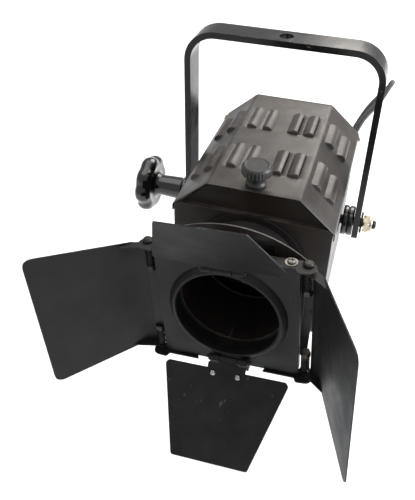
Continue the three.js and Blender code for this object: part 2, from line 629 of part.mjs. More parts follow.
const runnerOffset = CARRIER.half + GAP;
addPiece('runner_bottom', buildRunner(90).translate([0, 0, OPTIC_Z - runnerOffset]), MAT.door);
addPiece('runner_left',
  buildRunner(90).rotate([0, 90, 0]).translate([-runnerOffset, 0, OPTIC_Z]), MAT.door);
addPiece('runner_right',
  buildRunner(90).rotate([0, -90, 0]).translate([runnerOffset, 0, OPTIC_Z]), MAT.door);

function buildGate() {
  const back = BEZEL.front - GAP;
  const z = OPTIC_Z + CARRIER.half + GAP;
  const foot = block(-34, 34, back - 1, back, z, z + 12);
  const wall = block(-34, 34, back - CHANNEL_DEPTH, back, z, z + 1);
  const lip = block(-34, 34, back - CHANNEL_DEPTH, back - CHANNEL_DEPTH + 1, z - 4, z + 1);
  const slots = [-22, 22].map((x) => block(x - 2, x + 2, back - 3, back + 2, z + 3, z + 10));
  return cut(union([foot, wall, lip]), slots);
}
addPiece('door_gate', buildGate(), MAT.door);

function buildCarrier() {
  const z0 = OPTIC_Z - CARRIER.half + 0.3;
  const z1 = OPTIC_Z + CARRIER.half - 0.3;
  const x = CARRIER.half - 0.3;
  const outline = roundedShape([[-x, z0, 18], [x, z0, 18], [x, z1, 18], [-x, z1, 18]]);
  const plate = prism('y', outline, CARRIER.front, CARRIER.front + CARRIER.thick, 4);
  return plate.subtract(rod('y', APERTURE_R + 5, CARRIER.front - 5, CARRIER.front + 5, 0, OPTIC_Z, 40));
}
addPiece('door_carrier', buildCarrier(), MAT.door);

// ---- barn door: turned as a whole about the beam axis ----
// Its own frame: origin at the centre of the plate's front face, +Y still to the rear.
const door = new THREE.Group();
door.position.set(0, DOOR_FACE, OPTIC_Z);
door.rotation.y = deg(DOOR_ROLL);
root.add(door);

const FLANGE_DEPTH = 8;
const SIDE_PIN = { x: 67.4, y: 3.9, radius: 2.4, lug: 5.2 };   // upright hinge line of the side leaves
const TOP_PIN = { y: -6, z: 52.5, radius: 1.5 };     // level hinge line of the top and bottom leaves

function buildDoorPlate() {
  const flat = block(-DOOR_HALF, DOOR_HALF, 0, THIN, -DOOR_HALF, DOOR_HALF);
  const flanges = [];
  for (const side of [-1, 1]) {
    const z = side * DOOR_HALF;
    const inward = side * (DOOR_HALF - THIN);
    flanges.push(block(-58, 58, 0, FLANGE_DEPTH, Math.min(z, inward), Math.max(z, inward)));
    flanges.push(block(Math.min(z, inward), Math.max(z, inward), 0, FLANGE_DEPTH, -56, 56));
  }
  const lip = turned('y', [[APERTURE_R, -4.5], [APERTURE_R + 1.4, -5], [APERTURE_R + 5.5, -1.6],
    [APERTURE_R + 7, 0.5], [APERTURE_R, 0.5], [APERTURE_R, -4.5]], 48);
  const collar = tube('y', APERTURE_R + 4, APERTURE_R + 2.4, 0.5, 12.2, 0, 0, 48);
  const opening = rod('y', APERTURE_R, -20, 20, 0, 0, 48);
  return union([flat, ...flanges, lip, collar]).subtract(opening);
}
addPiece('barn_door_plate', buildDoorPlate(), MAT.door, door);

// retaining ring that keeps the collar in the carrier
function buildCollarRing() {
  const carrierBack = CARRIER.front + CARRIER.thick - DOOR_FACE;
  return tube('y', APERTURE_R + 8.5, APERTURE_R + 4 + GAP, carrierBack + 0.4, carrierBack + 1.4, 0, 0, 48);
}
addPiece('collar_ring', buildCollarRing(), MAT.door, door);

// fixed ears over the four corners: each carries one end of a side leaf's hinge
const EAR_Z = DOOR_HALF + GAP;
const EAR_SCREW_X = 54;

function buildEar(side, level) {
  // the front edge steps back where the opened top or bottom leaf passes it
  const outline = roundedShape([
    [side * 30, -2.5, 1], [side * 58.5, -2.5, 1], [side * 60.5, -7, 2], [side * 74, -6, 6], [side * 75, 6, 6],
    [side * 62, 8.4, 4], [side * 34, 8, 3],
  ]);
  const z0 = level > 0 ? EAR_Z : -EAR_Z - 1.3;
  const plate = prism('z', outline, z0, z0 + 1.3, 6);
  const holes = [rod('z', SIDE_PIN.radius + GAP, -90, 90, side * SIDE_PIN.x, SIDE_PIN.y),
    rod('z', 2.2, -90, 90, side * EAR_SCREW_X, 4)];
  return cut(plate, holes);
}

// bolt that a side leaf turns on, with a nut at its end
function buildHingeBolt(side, level) {
  const z = EAR_Z + 1.3 + GAP;
  const length = 30;
  const shank = rod('z', SIDE_PIN.radius, z - length, z + 0.5, 0, 0, 16);
  const head = turned('z', [[0, z], [4.4, z], [4.4, z + 1.4], [3, z + 2.8], [0, z + 3]], 20);
  const nut = hexRod('z', 8, z - length - 0.5, z - length + 4.5);
  const bolt = union([shank, head, nut]).translate([side * SIDE_PIN.x, SIDE_PIN.y, 0]);
  return level > 0 ? bolt : bolt.mirror([0, 0, 1]);
}

const CORNERS = [['top_left', -1, 1], ['top_right', 1, 1], ['bottom_left', -1, -1], ['bottom_right', 1, -1]];
for (const [corner, side, level] of CORNERS) {
  addPiece(`ear_${corner}`, buildEar(side, level), MAT.door, door);
  addPiece(`hinge_bolt_${corner}`, buildHingeBolt(side, level), MAT.zinc, door);
}

// side leaves: at zero degrees they point straight ahead, along -Y from the hinge line
const SIDE_LEAF = { from: 10.6, length: 91.6, out: 10.7, inner: 59.4, outer: 73 };

function buildSideLeaf(side) {
  const tip = -SIDE_LEAF.from - SIDE_LEAF.length;
  const outline = roundedShape([
    [-SIDE_LEAF.from, -SIDE_LEAF.inner, 1], [tip, -SIDE_LEAF.outer, 10],
    [tip, SIDE_LEAF.outer, 10], [-SIDE_LEAF.from, SIDE_LEAF.inner, 1],
  ]);
  const x0 = side * SIDE_LEAF.out;
  const x1 = side * (SIDE_LEAF.out - THIN);
  const sheet = prism('x', outline, Math.min(x0, x1), Math.max(x0, x1), 6);
  // folded edge that reaches back from the sheet towards the hinge line
  const foldOutline = polygonShape([
    [side * 10.7, -10.8], [side * 5.6, -0.4], [side * 4.6, -0.9], [side * 9.6, -10.8],
  ]);
  const fold = prism('z', foldOutline, 0.5 - SIDE_LEAF.inner, SIDE_LEAF.inner - 0.5);
  const lugs = [];
  for (const level of [-1, 1]) {
    const sheetX = side * (SIDE_LEAF.out - THIN / 2);
    const lug = polygonShape([
      [side * -1.5, -SIDE_PIN.lug], [sheetX, -SIDE_LEAF.from - 16],
      [sheetX, -SIDE_LEAF.from], [side * 3.5, 3.9],
    ]);
    const lugFace = SIDE_LEAF.inner - 0.2;
    const [z0, z1] = [level * lugFace, level * (lugFace - THIN)].sort((a, b) => a - b);
    lugs.push(prism('z', lug, z0, z1), rod('z', SIDE_PIN.lug, z0, z1));
  }
  return union([sheet, fold, ...lugs]).subtract(rod('z', SIDE_PIN.radius + GAP, -90, 90));
}

for (const [name, side, open] of [['left_leaf', -1, LEFT_LEAF_OPEN], ['right_leaf', 1, RIGHT_LEAF_OPEN]]) {
  const hinge = new THREE.Group();
  hinge.position.set(side * SIDE_PIN.x, SIDE_PIN.y, 0);
  hinge.rotation.z = side * deg(open);
  door.add(hinge);
  addPiece(name, buildSideLeaf(side), MAT.door, hinge);
}

// top and bottom leaves: narrower outwards, hung from a short knuckle in the middle
const END_LEAF = { from: 9.5, length: 78, inner: 57, outer: 34, knuckle: 3.2, tongue: 8, flap: 17.5 };

function buildEndLeaf() {
  const tip = -END_LEAF.from - END_LEAF.length;
  const outline = roundedShape([
    [-END_LEAF.inner, -END_LEAF.from - 3, 2], [-END_LEAF.inner + 3, -END_LEAF.from, 1],
    [END_LEAF.inner - 3, -END_LEAF.from, 1], [END_LEAF.inner, -END_LEAF.from - 3, 2],
    [END_LEAF.outer, tip, 2], [-END_LEAF.outer, tip, 2],
  ]);
  const sheet = prism('z', outline, -THIN / 2, THIN / 2, 4);
  const tongue = block(-END_LEAF.tongue, END_LEAF.tongue, -END_LEAF.from - 8, 0, -THIN / 2, THIN / 2);
  const flap = block(-END_LEAF.flap, END_LEAF.flap, -END_LEAF.from - 14, -4.4, -THIN / 2, THIN / 2);
  const knuckle = rod('x', END_LEAF.knuckle, -END_LEAF.tongue, END_LEAF.tongue, 0, 0, 20);
  return union([sheet, tongue, flap, knuckle]).subtract(rod('x', TOP_PIN.radius + GAP, -30, 30, 0, 0, 20));
}

function buildEndBracket(level) {
  // strap on the plate's flange whose two knuckles hold the pin either side of the leaf's own
  const z = DOOR_HALF + GAP;
  const strap = block(-18, 18, -4, FLANGE_DEPTH, z, z + 1.3);
  const spans = [[-18, -8.6], [8.6, 18]];
  const knuckles = spans.map(([a, b]) => rod('x', END_LEAF.knuckle, a, b, TOP_PIN.y, TOP_PIN.z, 20));
  const webs = spans.map(([a, b]) => block(a, b, TOP_PIN.y + 1, -3, TOP_PIN.z, z + 1.3));
  const clearance = rod('x', END_LEAF.knuckle + 1, -8.6, 8.6, TOP_PIN.y, TOP_PIN.z, 20);
  const bore = rod('x', TOP_PIN.radius + GAP, -30, 30, TOP_PIN.y, TOP_PIN.z, 20);
  const bracket = cut(union([strap, ...knuckles, ...webs]), [clearance, bore]);
  return level > 0 ? bracket : bracket.mirror([0, 0, 1]);
}

for (const [name, level, open] of [['top', 1, TOP_LEAF_OPEN], ['bottom', -1, BOTTOM_LEAF_OPEN]]) {
  const pin = rod('x', TOP_PIN.radius, -20, 20, TOP_PIN.y, level * TOP_PIN.z, 16);
  addPiece(`${name}_bracket`, buildEndBracket(level), MAT.door, door);
  addPiece(`${name}_hinge_pin`, pin, MAT.bright, door);
  const hinge = new THREE.Group();
  hinge.position.set(0, TOP_PIN.y, level * TOP_PIN.z);
  hinge.rotation.x = -level * deg(open);
  door.add(hinge);
  addPiece(`${name}_leaf`, buildEndLeaf(), MAT.door, hinge);
}

// ---- rear: cable gland, cable tail on the housing and the supply lead hung from the yoke ----
const CABLE_R = 3.2;

function buildGland() {
  const back = BODY_REAR + GAP;
  const bore = CABLE_R + 0.7;
  const profile = [[bore, BODY_REAR - 6], [7.4, BODY_REAR - 6], [7.4, back], [11, back], [11, back + 5],
    [8, back + 8], [8, back + 13], [6, back + 16], [bore, back + 16], [bore, BODY_REAR - 6]];
  return turned('y', profile, 28).translate([GLAND.x, 0, GLAND.z]);
}
addPiece('cable_gland', buildGland(), MAT.plastic);

function tubeAlong(points, radius) {
  const path = new THREE.CatmullRomCurve3(points.map(([x, y, z]) => new THREE.Vector3(x, y, z)));
  const section = circleShape(radius);
  return solid(new THREE.ExtrudeGeometry(section, { steps: 14, extrudePath: path, curveSegments: 5 }));
}

addPiece('cable_tail', tubeAlong([
  [GLAND.x, BODY_REAR + 27, GLAND.z], [GLAND.x, BODY_REAR + 8, GLAND.z], [GLAND.x, BODY_REAR - 8, GLAND.z],
  [GLAND.x - 3, BODY_REAR - 20, GLAND.z - 6], [GLAND.x - 9, BODY_REAR - 28, GLAND.z - 22],
], CABLE_R), MAT.rubber);
addPiece('supply_lead', tubeAlong([
  [58, BODY_REAR + 44, -6], [68, BODY_REAR + 43, 10], [79, BODY_REAR + 46, 38], [89, BODY_REAR + 54, 66],
  [101, BODY_REAR + 64, 97],
], CABLE_R), MAT.rubber);

function buildTerminalBlock() {
  const z = FLOOR_Z + SHEET + GAP;
  const body = block(-20, 20, 44, 66, z, z + 16);
  const holes = [-12, 0, 12].map((x) => rod('z', 2.6, z + 6, z + 20, x, 55, 12));
  return cut(body, holes);
}
addPiece('terminal_block', buildTerminalBlock(), MAT.ceramic);

// the origin: on the crossbar's top face, midway between the hanging hole's edge and the bar's rear edge
root.position.set(0, -(HANGING_HOLE_R + BAR_W / 2) / 2, -YOKE_TOP);

export default root;
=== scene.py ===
"""Looks of the fresnel spotlight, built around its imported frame.

Blender works in metres. Pieces are drawn here in millimetres from the centre of the tilt axis, with +X along
the axis, +Z up and the beam leaving towards -Y, and are moved to the frame's origin when they are made.
"""

import json
from math import acos, atan2, cos, hypot, pi, radians, sin, sqrt

import bmesh
import bpy
from mathutils import Matrix, Vector


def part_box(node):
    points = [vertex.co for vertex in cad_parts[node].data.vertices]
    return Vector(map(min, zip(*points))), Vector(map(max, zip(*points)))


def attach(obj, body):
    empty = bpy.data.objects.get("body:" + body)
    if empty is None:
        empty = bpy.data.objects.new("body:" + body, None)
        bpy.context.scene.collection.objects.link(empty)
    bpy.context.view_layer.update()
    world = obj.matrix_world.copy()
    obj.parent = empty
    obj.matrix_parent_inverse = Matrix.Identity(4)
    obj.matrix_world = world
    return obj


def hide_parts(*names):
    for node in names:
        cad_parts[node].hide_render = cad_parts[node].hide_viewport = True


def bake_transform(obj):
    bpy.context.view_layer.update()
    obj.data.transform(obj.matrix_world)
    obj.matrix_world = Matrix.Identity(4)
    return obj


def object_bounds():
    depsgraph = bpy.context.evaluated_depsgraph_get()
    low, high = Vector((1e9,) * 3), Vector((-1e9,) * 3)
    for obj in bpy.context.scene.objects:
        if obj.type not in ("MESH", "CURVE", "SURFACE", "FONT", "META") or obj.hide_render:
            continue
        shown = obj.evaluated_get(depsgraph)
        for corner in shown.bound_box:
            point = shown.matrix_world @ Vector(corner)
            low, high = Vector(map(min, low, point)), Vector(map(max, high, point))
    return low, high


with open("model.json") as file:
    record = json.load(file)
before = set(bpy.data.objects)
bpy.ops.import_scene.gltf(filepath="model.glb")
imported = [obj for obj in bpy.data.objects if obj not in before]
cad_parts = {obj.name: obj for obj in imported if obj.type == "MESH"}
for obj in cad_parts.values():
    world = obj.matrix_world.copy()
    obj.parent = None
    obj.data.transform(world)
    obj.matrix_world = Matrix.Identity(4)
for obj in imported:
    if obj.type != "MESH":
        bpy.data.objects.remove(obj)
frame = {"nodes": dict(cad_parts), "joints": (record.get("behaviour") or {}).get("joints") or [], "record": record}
cad_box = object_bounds()

MM = 0.001
JOINTS = {joint["name"]: joint for joint in frame["joints"]}
PIVOT = Vector(JOINTS["tilt"]["pos_m"])


def box_mm(node):
    """Lowest and highest corner of a CAD node, in millimetres from the tilt axis."""
    low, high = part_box(node)
    return (low - PIVOT) / MM, (high - PIVOT) / MM


# ---- driving dimensions, millimetres ----
ROOF_LOW, ROOF_HIGH = box_mm("roof_cover")
HALF_W = ROOF_HIGH.x                      # half width of the roof cover
FRONT, REAR = ROOF_LOW.y, ROOF_HIGH.y
SKIRT_Z = ROOF_LOW.z
EAVE_Z = SKIRT_Z + 7
RIDGE_Z = box_mm("roof_knob")[1].z - 22   # the roof's flat top: the knob stands on it
RIDGE_HALF_W = 42
GAP = 0.4
OPTIC_Z = (Vector(JOINTS["barn_door_turn"]["pos_m"]) - PIVOT).z / MM
LENS_R = 54
APERTURE_R = 46
YOKE_HALF_W = box_mm("yoke")[1].x
THIN = 1.1
DOOR_HALF = 62
TOP_OPEN, BOTTOM_OPEN = 60, 35            # degrees from straight ahead, as posed at rest
# in the door's own frame, where +Y points to the rear and the face of the plate is at y = 0
END_HINGE = (-6, 52.5)                    # y and height of the level hinge lines
SIDE_HINGE = (67.4, 3.9)                  # x and y of the upright hinge lines
EAR_FACE = 63.7                           # height of the ears' outer faces
EAR_SCREW = (54, 4)                       # x and y of the ear screws


# ---- node materials ----
class Nodes:
    """A node tree under construction."""

    def __init__(self, name):
        self.material = bpy.data.materials.new(name)
        self.material.use_nodes = True
        self.tree = self.material.node_tree
        self.tree.nodes.clear()
        self.output = self.add("OutputMaterial")
        self.shader = self.add("BsdfPrincipled")
        self.link(self.shader.outputs["BSDF"], self.output.inputs["Surface"])
        self.place = self.add("TexCoord").outputs["Object"]

    def add(self, kind, **settings):
        node = self.tree.nodes.new("ShaderNode" + kind)
        for key, value in settings.items():
            setattr(node, key, value)
        return node

    def link(self, source, target):
        self.tree.links.new(source, target)

    def stretched(self, scale):
        mapping = self.add("Mapping")
        mapping.inputs["Scale"].default_value = scale
        self.link(self.place, mapping.inputs["Vector"])
        return mapping.outputs["Vector"]

    def noise(self, per_metre, detail=3.0, rough=0.55, vector=None):
        node = self.add("TexNoise")
        node.inputs["Scale"].default_value = per_metre
        node.inputs["Detail"].default_value = detail
        node.inputs["Roughness"].default_value = rough
        self.link(vector or self.place, node.inputs["Vector"])
        return node.outputs["Fac"]

    def ramp(self, value, low, high, out_low=0.0, out_high=1.0):
        node = self.add("MapRange")
        node.inputs["From Min"].default_value = low
        node.inputs["From Max"].default_value = high
        node.inputs["To Min"].default_value = out_low
        node.inputs["To Max"].default_value = out_high
        self.link(value, node.inputs["Value"])
        return node.outputs["Result"]

    def math(self, operation, a, b):
        node = self.add("Math", operation=operation)
        for socket, value in zip(node.inputs, (a, b)):
            if isinstance(value, (int, float)):
                socket.default_value = value
            else:
                self.link(value, socket)
        return node.outputs[0]

    def mix(self, factor, a, b):
        node = self.add("Mix", data_type="RGBA")
        colours = [socket for socket in node.inputs if socket.type == "RGBA"]
        self.link(factor, node.inputs[0])
        for socket, value in zip(colours, (a, b)):
            if isinstance(value, tuple):
                socket.default_value = (*value, 1)
            else:
                self.link(value, socket)
        return [socket for socket in node.outputs if socket.type == "RGBA"][0]

    def edges(self, radius_mm):
        """1 on outer edges, 0 on flat metal: how far the rounded normal turns from the true one."""
        rounded = self.add("Bevel", samples=4)
        rounded.inputs["Radius"].default_value = radius_mm * MM
        true = self.add("NewGeometry").outputs["Normal"]
        dot = self.add("VectorMath", operation="DOT_PRODUCT")
        self.link(rounded.outputs["Normal"], dot.inputs[0])
        self.link(true, dot.inputs[1])
        return self.ramp(dot.outputs["Value"], 0.995, 0.90)

    def bump(self, height, strength, distance_mm):
        node = self.add("Bump")
        node.inputs["Strength"].default_value = strength
        node.inputs["Distance"].default_value = distance_mm * MM
        self.link(height, node.inputs["Height"])
        self.link(node.outputs["Normal"], self.shader.inputs["Normal"])

    def set(self, **values):
        for key, value in values.items():
            socket = self.shader.inputs[key.replace("_", " ")]
            if isinstance(value, (int, float)):
                socket.default_value = value
            elif isinstance(value, tuple):
                socket.default_value = (*value, 1)
            else:
                self.link(value, socket)


BARE_STEEL = (0.33, 0.31, 0.29)


def painted(name, colour, bright, rough, grain=0.12, wear=0.5, dust=0.15, shine=0.5):
    """Enamel on sheet steel: cloudy colour, fine grain, chipped edges, light scratches and settled dust."""
    n = Nodes(name)
    cloud = n.ramp(n.noise(22, 5), 0.35, 0.7)
    base = n.mix(cloud, colour, bright)
    up = n.add("SeparateXYZ")
    n.link(n.add("NewGeometry").outputs["Normal"], up.inputs[0])
    settled = n.math("MULTIPLY", n.ramp(up.outputs["Z"], 0.2, 1.0), n.ramp(n.noise(55, 6, 0.7), 0.42, 0.75))
    base = n.mix(n.math("MULTIPLY", settled, dust), base, (0.22, 0.19, 0.165))
    streaks = n.noise(260, 2, 0.4, n.stretched((1.0, 0.06, 1.0)))
    scratch = n.math("MULTIPLY", n.ramp(streaks, 0.70, 0.74), n.ramp(n.noise(14), 0.5, 0.6))
    base = n.mix(n.math("MULTIPLY", scratch, 0.35), base, (0.16, 0.15, 0.14))
    chips = n.math("MULTIPLY", n.edges(0.7), n.ramp(n.noise(110, 6, 0.75), 0.60 - 0.12 * wear, 0.66))
    spots = n.math("MULTIPLY", n.ramp(n.noise(330, 2), 0.755, 0.775), n.ramp(n.noise(17, 2), 0.55, 0.62))
    worn = n.math("MAXIMUM", n.math("MULTIPLY", chips, wear), n.math("MULTIPLY", spots, wear * 0.8))
    base = n.mix(worn, base, BARE_STEEL)
    smears = n.ramp(n.noise(34, 6, 0.65), 0.3, 0.75, rough - 0.09, rough + 0.13)
    n.set(Base_Color=base, Metallic=n.math("MULTIPLY", worn, 0.7), Roughness=smears, Specular_IOR_Level=shine)
    fine = n.math("MULTIPLY", n.noise(1500, 2), grain)
    height = n.math("ADD", fine, n.math("MULTIPLY", n.noise(160, 2), 0.5))
    n.bump(n.math("SUBTRACT", height, n.math("MULTIPLY", worn, 0.6)), 0.35, 0.12)
    return n.material


def plastic(name, colour, rough, coat=0.4):
    """Moulded black plastic with a polished skin, fine scuffs and a little dust."""
    n = Nodes(name)
    scuffs = n.ramp(n.noise(420, 3, 0.6, n.stretched((1.0, 1.0, 0.25))), 0.58, 0.70)
    patch = n.ramp(n.noise(60, 4), 0.45, 0.65)
    mark = n.math("MULTIPLY", scuffs, patch)
    rub = n.math("MULTIPLY", n.edges(0.9), n.ramp(n.noise(150, 5, 0.7), 0.45, 0.62))
    mark = n.math("MAXIMUM", n.math("MULTIPLY", mark, 0.25), n.math("MULTIPLY", rub, 0.35))
    n.set(Base_Color=n.mix(mark, colour, (0.13, 0.12, 0.11)), Coat_Weight=coat, Coat_Roughness=0.12)
    n.set(Roughness=n.ramp(n.noise(90, 5), 0.3, 0.7, rough, rough + 0.15))
    n.bump(n.noise(700, 2), 0.12, 0.05)
    return n.material


def metal(name, colour, tint, rough, brushed=(1.0, 1.0, 1.0)):
    """Bare or plated metal with brushing and tarnish patches."""
    n = Nodes(name)
    patch = n.ramp(n.noise(130, 5, 0.65), 0.40, 0.68)
    lines = n.noise(900, 3, 0.6, n.stretched(brushed))
    n.set(Base_Color=n.mix(patch, colour, tint), Metallic=1.0)
    brushed_rough = n.ramp(lines, 0.3, 0.7, rough - 0.05, rough + 0.1)
    n.set(Roughness=n.math("ADD", brushed_rough, n.math("MULTIPLY", patch, 0.1)))
    n.bump(lines, 0.25, 0.03)
    return n.material


def clear(name, tint, rough, ridges=0.0):
    """Glass: clear, slightly tinted, with faint smears and, on moulded glass, a rippled skin."""
    n = Nodes(name)
    smear = n.ramp(n.noise(45, 5), 0.45, 0.8, rough, rough + 0.12)
    n.set(Base_Color=tint, Roughness=smear, IOR=1.5, Transmission_Weight=0.92)
    n.bump(n.noise(240, 2), 0.1 + ridges, 0.05)
    return n.material


def ceramic(name, colour):
    """Unglazed ceramic with pores and heat stains."""
    n = Nodes(name)
    stain = n.ramp(n.noise(70, 4), 0.5, 0.75)
    n.set(Base_Color=n.mix(stain, colour, (0.32, 0.25, 0.18)), Roughness=0.8)
    n.bump(n.noise(900, 3), 0.4, 0.08)
    return n.material


def rubber(name, colour):
    """Soft cable sheath: matt, with scuffs and a lengthwise ripple."""
    n = Nodes(name)
    scuff = n.ramp(n.noise(300, 4, 0.7), 0.5, 0.72)
    lighter = tuple(min(1.0, channel * 1.6) for channel in colour)
    n.set(Base_Color=n.mix(scuff, colour, lighter), Roughness=0.6)
    n.bump(n.noise(500, 3), 0.3, 0.08)
    return n.material


LOOKS = {
    "housing_paint": painted("housing_paint", (0.023, 0.0175, 0.014), (0.036, 0.029, 0.024), 0.38,
                             dust=0.24, shine=0.45),
    "yoke_paint": painted("yoke_paint", (0.0025, 0.0025, 0.0027), (0.005, 0.005, 0.005), 0.20,
                          grain=0.04, wear=0.8, dust=0.05, shine=0.35),
    "door_paint": painted("door_paint", (0.0065, 0.0066, 0.0068), (0.0105, 0.0104, 0.0103), 0.46,
                          wear=0.5, dust=0.06, shine=0.24),
    # inside_paint is kept much darker than the housing paint as painted shade: it stands for the shade inside the
    # lens opening
    "inside_paint": painted("inside_paint", (0.006, 0.0042, 0.0036), (0.011, 0.008, 0.0065), 0.6,
                            wear=0.15, dust=0.05, shine=0.25),
    "black_plastic": plastic("black_plastic", (0.0035, 0.0033, 0.0032), 0.12),
    "zinc": metal("zinc", (0.60, 0.54, 0.42), (0.42, 0.36, 0.27), 0.30),
    "bright_steel": metal("bright_steel", (0.66, 0.66, 0.66), (0.45, 0.43, 0.41), 0.22, (1.0, 0.05, 1.0)),
    "reflector_metal": metal("reflector_metal", (0.85, 0.85, 0.86), (0.70, 0.69, 0.68), 0.12),
    "lens_glass": clear("lens_glass", (0.90, 0.97, 0.94), 0.02, 0.1),
    "lamp_glass": clear("lamp_glass", (0.97, 0.98, 1.0), 0.01),
    "white_ceramic": ceramic("white_ceramic", (0.70, 0.66, 0.56)),
    "grey_cable": rubber("grey_cable", (0.085, 0.085, 0.088)),
}
KNOB_LOOK = plastic("knob_plastic", (0.020, 0.018, 0.016), 0.42, coat=0.1)
NYLON_LOOK = plastic("nylon_insert", (0.52, 0.47, 0.36), 0.4, coat=0.0)
AGED_LOOK = metal("aged_steel", (0.30, 0.28, 0.25), (0.08, 0.075, 0.07), 0.34)
SOOT_LOOK = metal("blackened_steel", (0.06, 0.055, 0.05), (0.03, 0.028, 0.025), 0.42)


# ---- mesh helpers ----
TURN = {
    "x": Matrix.Rotation(pi / 2, 4, "Y"),
    "y": Matrix.Rotation(-pi / 2, 4, "X"),
}


TO_LEFT = Matrix.Rotation(-pi / 2, 4, "Y")


def at(x, y, z):
    return Matrix.Translation((x, y, z))


def join(target, part):
    """Adds one mesh under construction to another and frees it."""
    mesh = bpy.data.meshes.new("part")
    part.to_mesh(mesh)
    part.free()
    target.from_mesh(mesh)
    bpy.data.meshes.remove(mesh)


def finish_shading(piece, bevel_mm):
    """Smooth shading with small bevels where asked for, otherwise with edges marked sharp by angle."""
    piece.data.polygons.foreach_set("use_smooth", [True] * len(piece.data.polygons))
    if bevel_mm:
        bevel = piece.modifiers.new("edge_radius", "BEVEL")
        bevel.width = bevel_mm * MM
        bevel.segments = 2
        bevel.limit_method = "ANGLE"
        bevel.angle_limit = radians(32)
        piece.modifiers.new("flat_normals", "WEIGHTED_NORMAL")
    else:
        piece.data.set_sharp_from_angle(angle=radians(32))


def make_piece(name, bm, body, slot, replaces=(), place=None, bevel=0.0, look=None):
    """Turns a mesh drawn in millimetres from the tilt axis into a piece that rides on a body."""
    if place is not None:
        bm.transform(place)
    bmesh.ops.recalc_face_normals(bm, faces=bm.faces)
    bm.transform(Matrix.Translation(PIVOT) @ Matrix.Scale(MM, 4))
    mesh = bpy.data.meshes.new(name)
    bm.to_mesh(mesh)
    bm.free()
    mesh.materials.append(look or LOOKS[slot])
    piece = bpy.data.objects.new(name, mesh)
    bpy.context.scene.collection.objects.link(piece)
    finish_shading(piece, bevel)
    if body:
        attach(piece, body)
    if replaces:
        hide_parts(*replaces)
    return piece


def rounded(points, radius, steps=3, closed=False):
    """The outline with its corners rounded off by short arcs."""
    result = []
    count = len(points)
    for i, (u, v) in enumerate(points):
        if not closed and i in (0, count - 1):
            result.append((u, v))
            continue
        corner = Vector((u, v))
        before = Vector(points[i - 1]) - corner
        after = Vector(points[(i + 1) % count]) - corner
        reach = min(radius, before.length * 0.45, after.length * 0.45)
        if reach < 0.01:
            result.append((u, v))
            continue
        start = corner + before.normalized() * reach
        end = corner + after.normalized() * reach
        for k in range(steps + 1):
            t = k / steps
            point = start * (1 - t) ** 2 + corner * 2 * t * (1 - t) + end * t * t
            result.append((point.x, point.y))
    return result


def revolve(profile, segments=96, closed=False, shape=None, bm=None):
    """Turns (radius, height) points about Z. shape(angle, radius, height) may change a point's radius."""
    bm = bm or bmesh.new()
    poles = {i: bm.verts.new((0, 0, h)) for i, (r, h) in enumerate(profile) if r < 1e-6}
    columns = []
    for k in range(segments):
        angle = 2 * pi * k / segments
        column = []
        for i, (r, h) in enumerate(profile):
            if i in poles:
                column.append(poles[i])
                continue
            radius = shape(angle, r, h) if shape else r
            column.append(bm.verts.new((radius * cos(angle), radius * sin(angle), h)))
        columns.append(column)
    pairs = len(profile) if closed else len(profile) - 1
    for k in range(segments):
        a, b = columns[k], columns[(k + 1) % segments]
        for i in range(pairs):
            j = (i + 1) % len(profile)
            corners = list(dict.fromkeys([a[i], b[i], b[j], a[j]]))
            if len(corners) > 2:
                bm.faces.new(corners)
    return bm


def slab(bm, low, high):
    """A box between two corners."""
    centre = (Vector(low) + Vector(high)) / 2
    size = Vector(high) - Vector(low)
    matrix = Matrix.Translation(centre) @ Matrix.Diagonal((*size, 1))
    bmesh.ops.create_cube(bm, size=1, matrix=matrix)


def outline_reach(outline, angle):
    """How far the outline lies from its centre in a direction."""
    d = Vector((cos(angle), sin(angle)))
    best = 0
    for i, point in enumerate(outline):
        a, b = Vector(point), Vector(outline[(i + 1) % len(outline)])
        edge = b - a
        cross = d.x * edge.y - d.y * edge.x
        if abs(cross) < 1e-9:
            continue
        t = (a.x * edge.y - a.y * edge.x) / cross
        s = (a.x * d.y - a.y * d.x) / cross
        if -1e-6 <= s <= 1 + 1e-6 and t > best:
            best = t
    return best


def plate_with_hole(bm, outline, radius, low, high, segments=96):
    """A flat plate with a round hole at its centre; the outline is seen whole from that centre."""
    angles = [2 * pi * k / segments for k in range(segments)]
    angles += [atan2(v, u) % (2 * pi) for u, v in outline]
    angles = sorted(set(round(angle, 5) for angle in angles))
    reach = [outline_reach(outline, angle) for angle in angles]
    rings = []
    for distance, height in ((None, low), (radius, low), (radius, high), (None, high)):
        ring = []
        for angle, far in zip(angles, reach):
            r = far if distance is None else distance
            ring.append(bm.verts.new((r * cos(angle), r * sin(angle), height)))
        rings.append(ring)
    for i in range(len(angles)):
        j = (i + 1) % len(angles)
        for a, b in zip(rings, rings[1:] + rings[:1]):
            bm.faces.new([a[i], a[j], b[j], b[i]])


def sweep(points, radius, sides=12, bm=None, closed_ends=True):
    """A round tube along a line of points."""
    bm = bm or bmesh.new()
    points = [Vector(p) for p in points]
    normal = (points[1] - points[0]).orthogonal().normalized()
    rings = []
    for i, point in enumerate(points):
        ahead = points[min(i + 1, len(points) - 1)] - points[max(i - 1, 0)]
        ahead.normalize()
        normal = (normal - ahead * normal.dot(ahead)).normalized()
        side = ahead.cross(normal)
        ring = []
        for k in range(sides):
            angle = 2 * pi * k / sides
            ring.append(bm.verts.new(point + (normal * cos(angle) + side * sin(angle)) * radius))
        rings.append(ring)
    for a, b in zip(rings, rings[1:]):
        for k in range(sides):
            j = (k + 1) % sides
            bm.faces.new([a[k], a[j], b[j], b[k]])
    if closed_ends:
        bm.faces.new(list(reversed(rings[0])))
        bm.faces.new(rings[-1])
    return bm


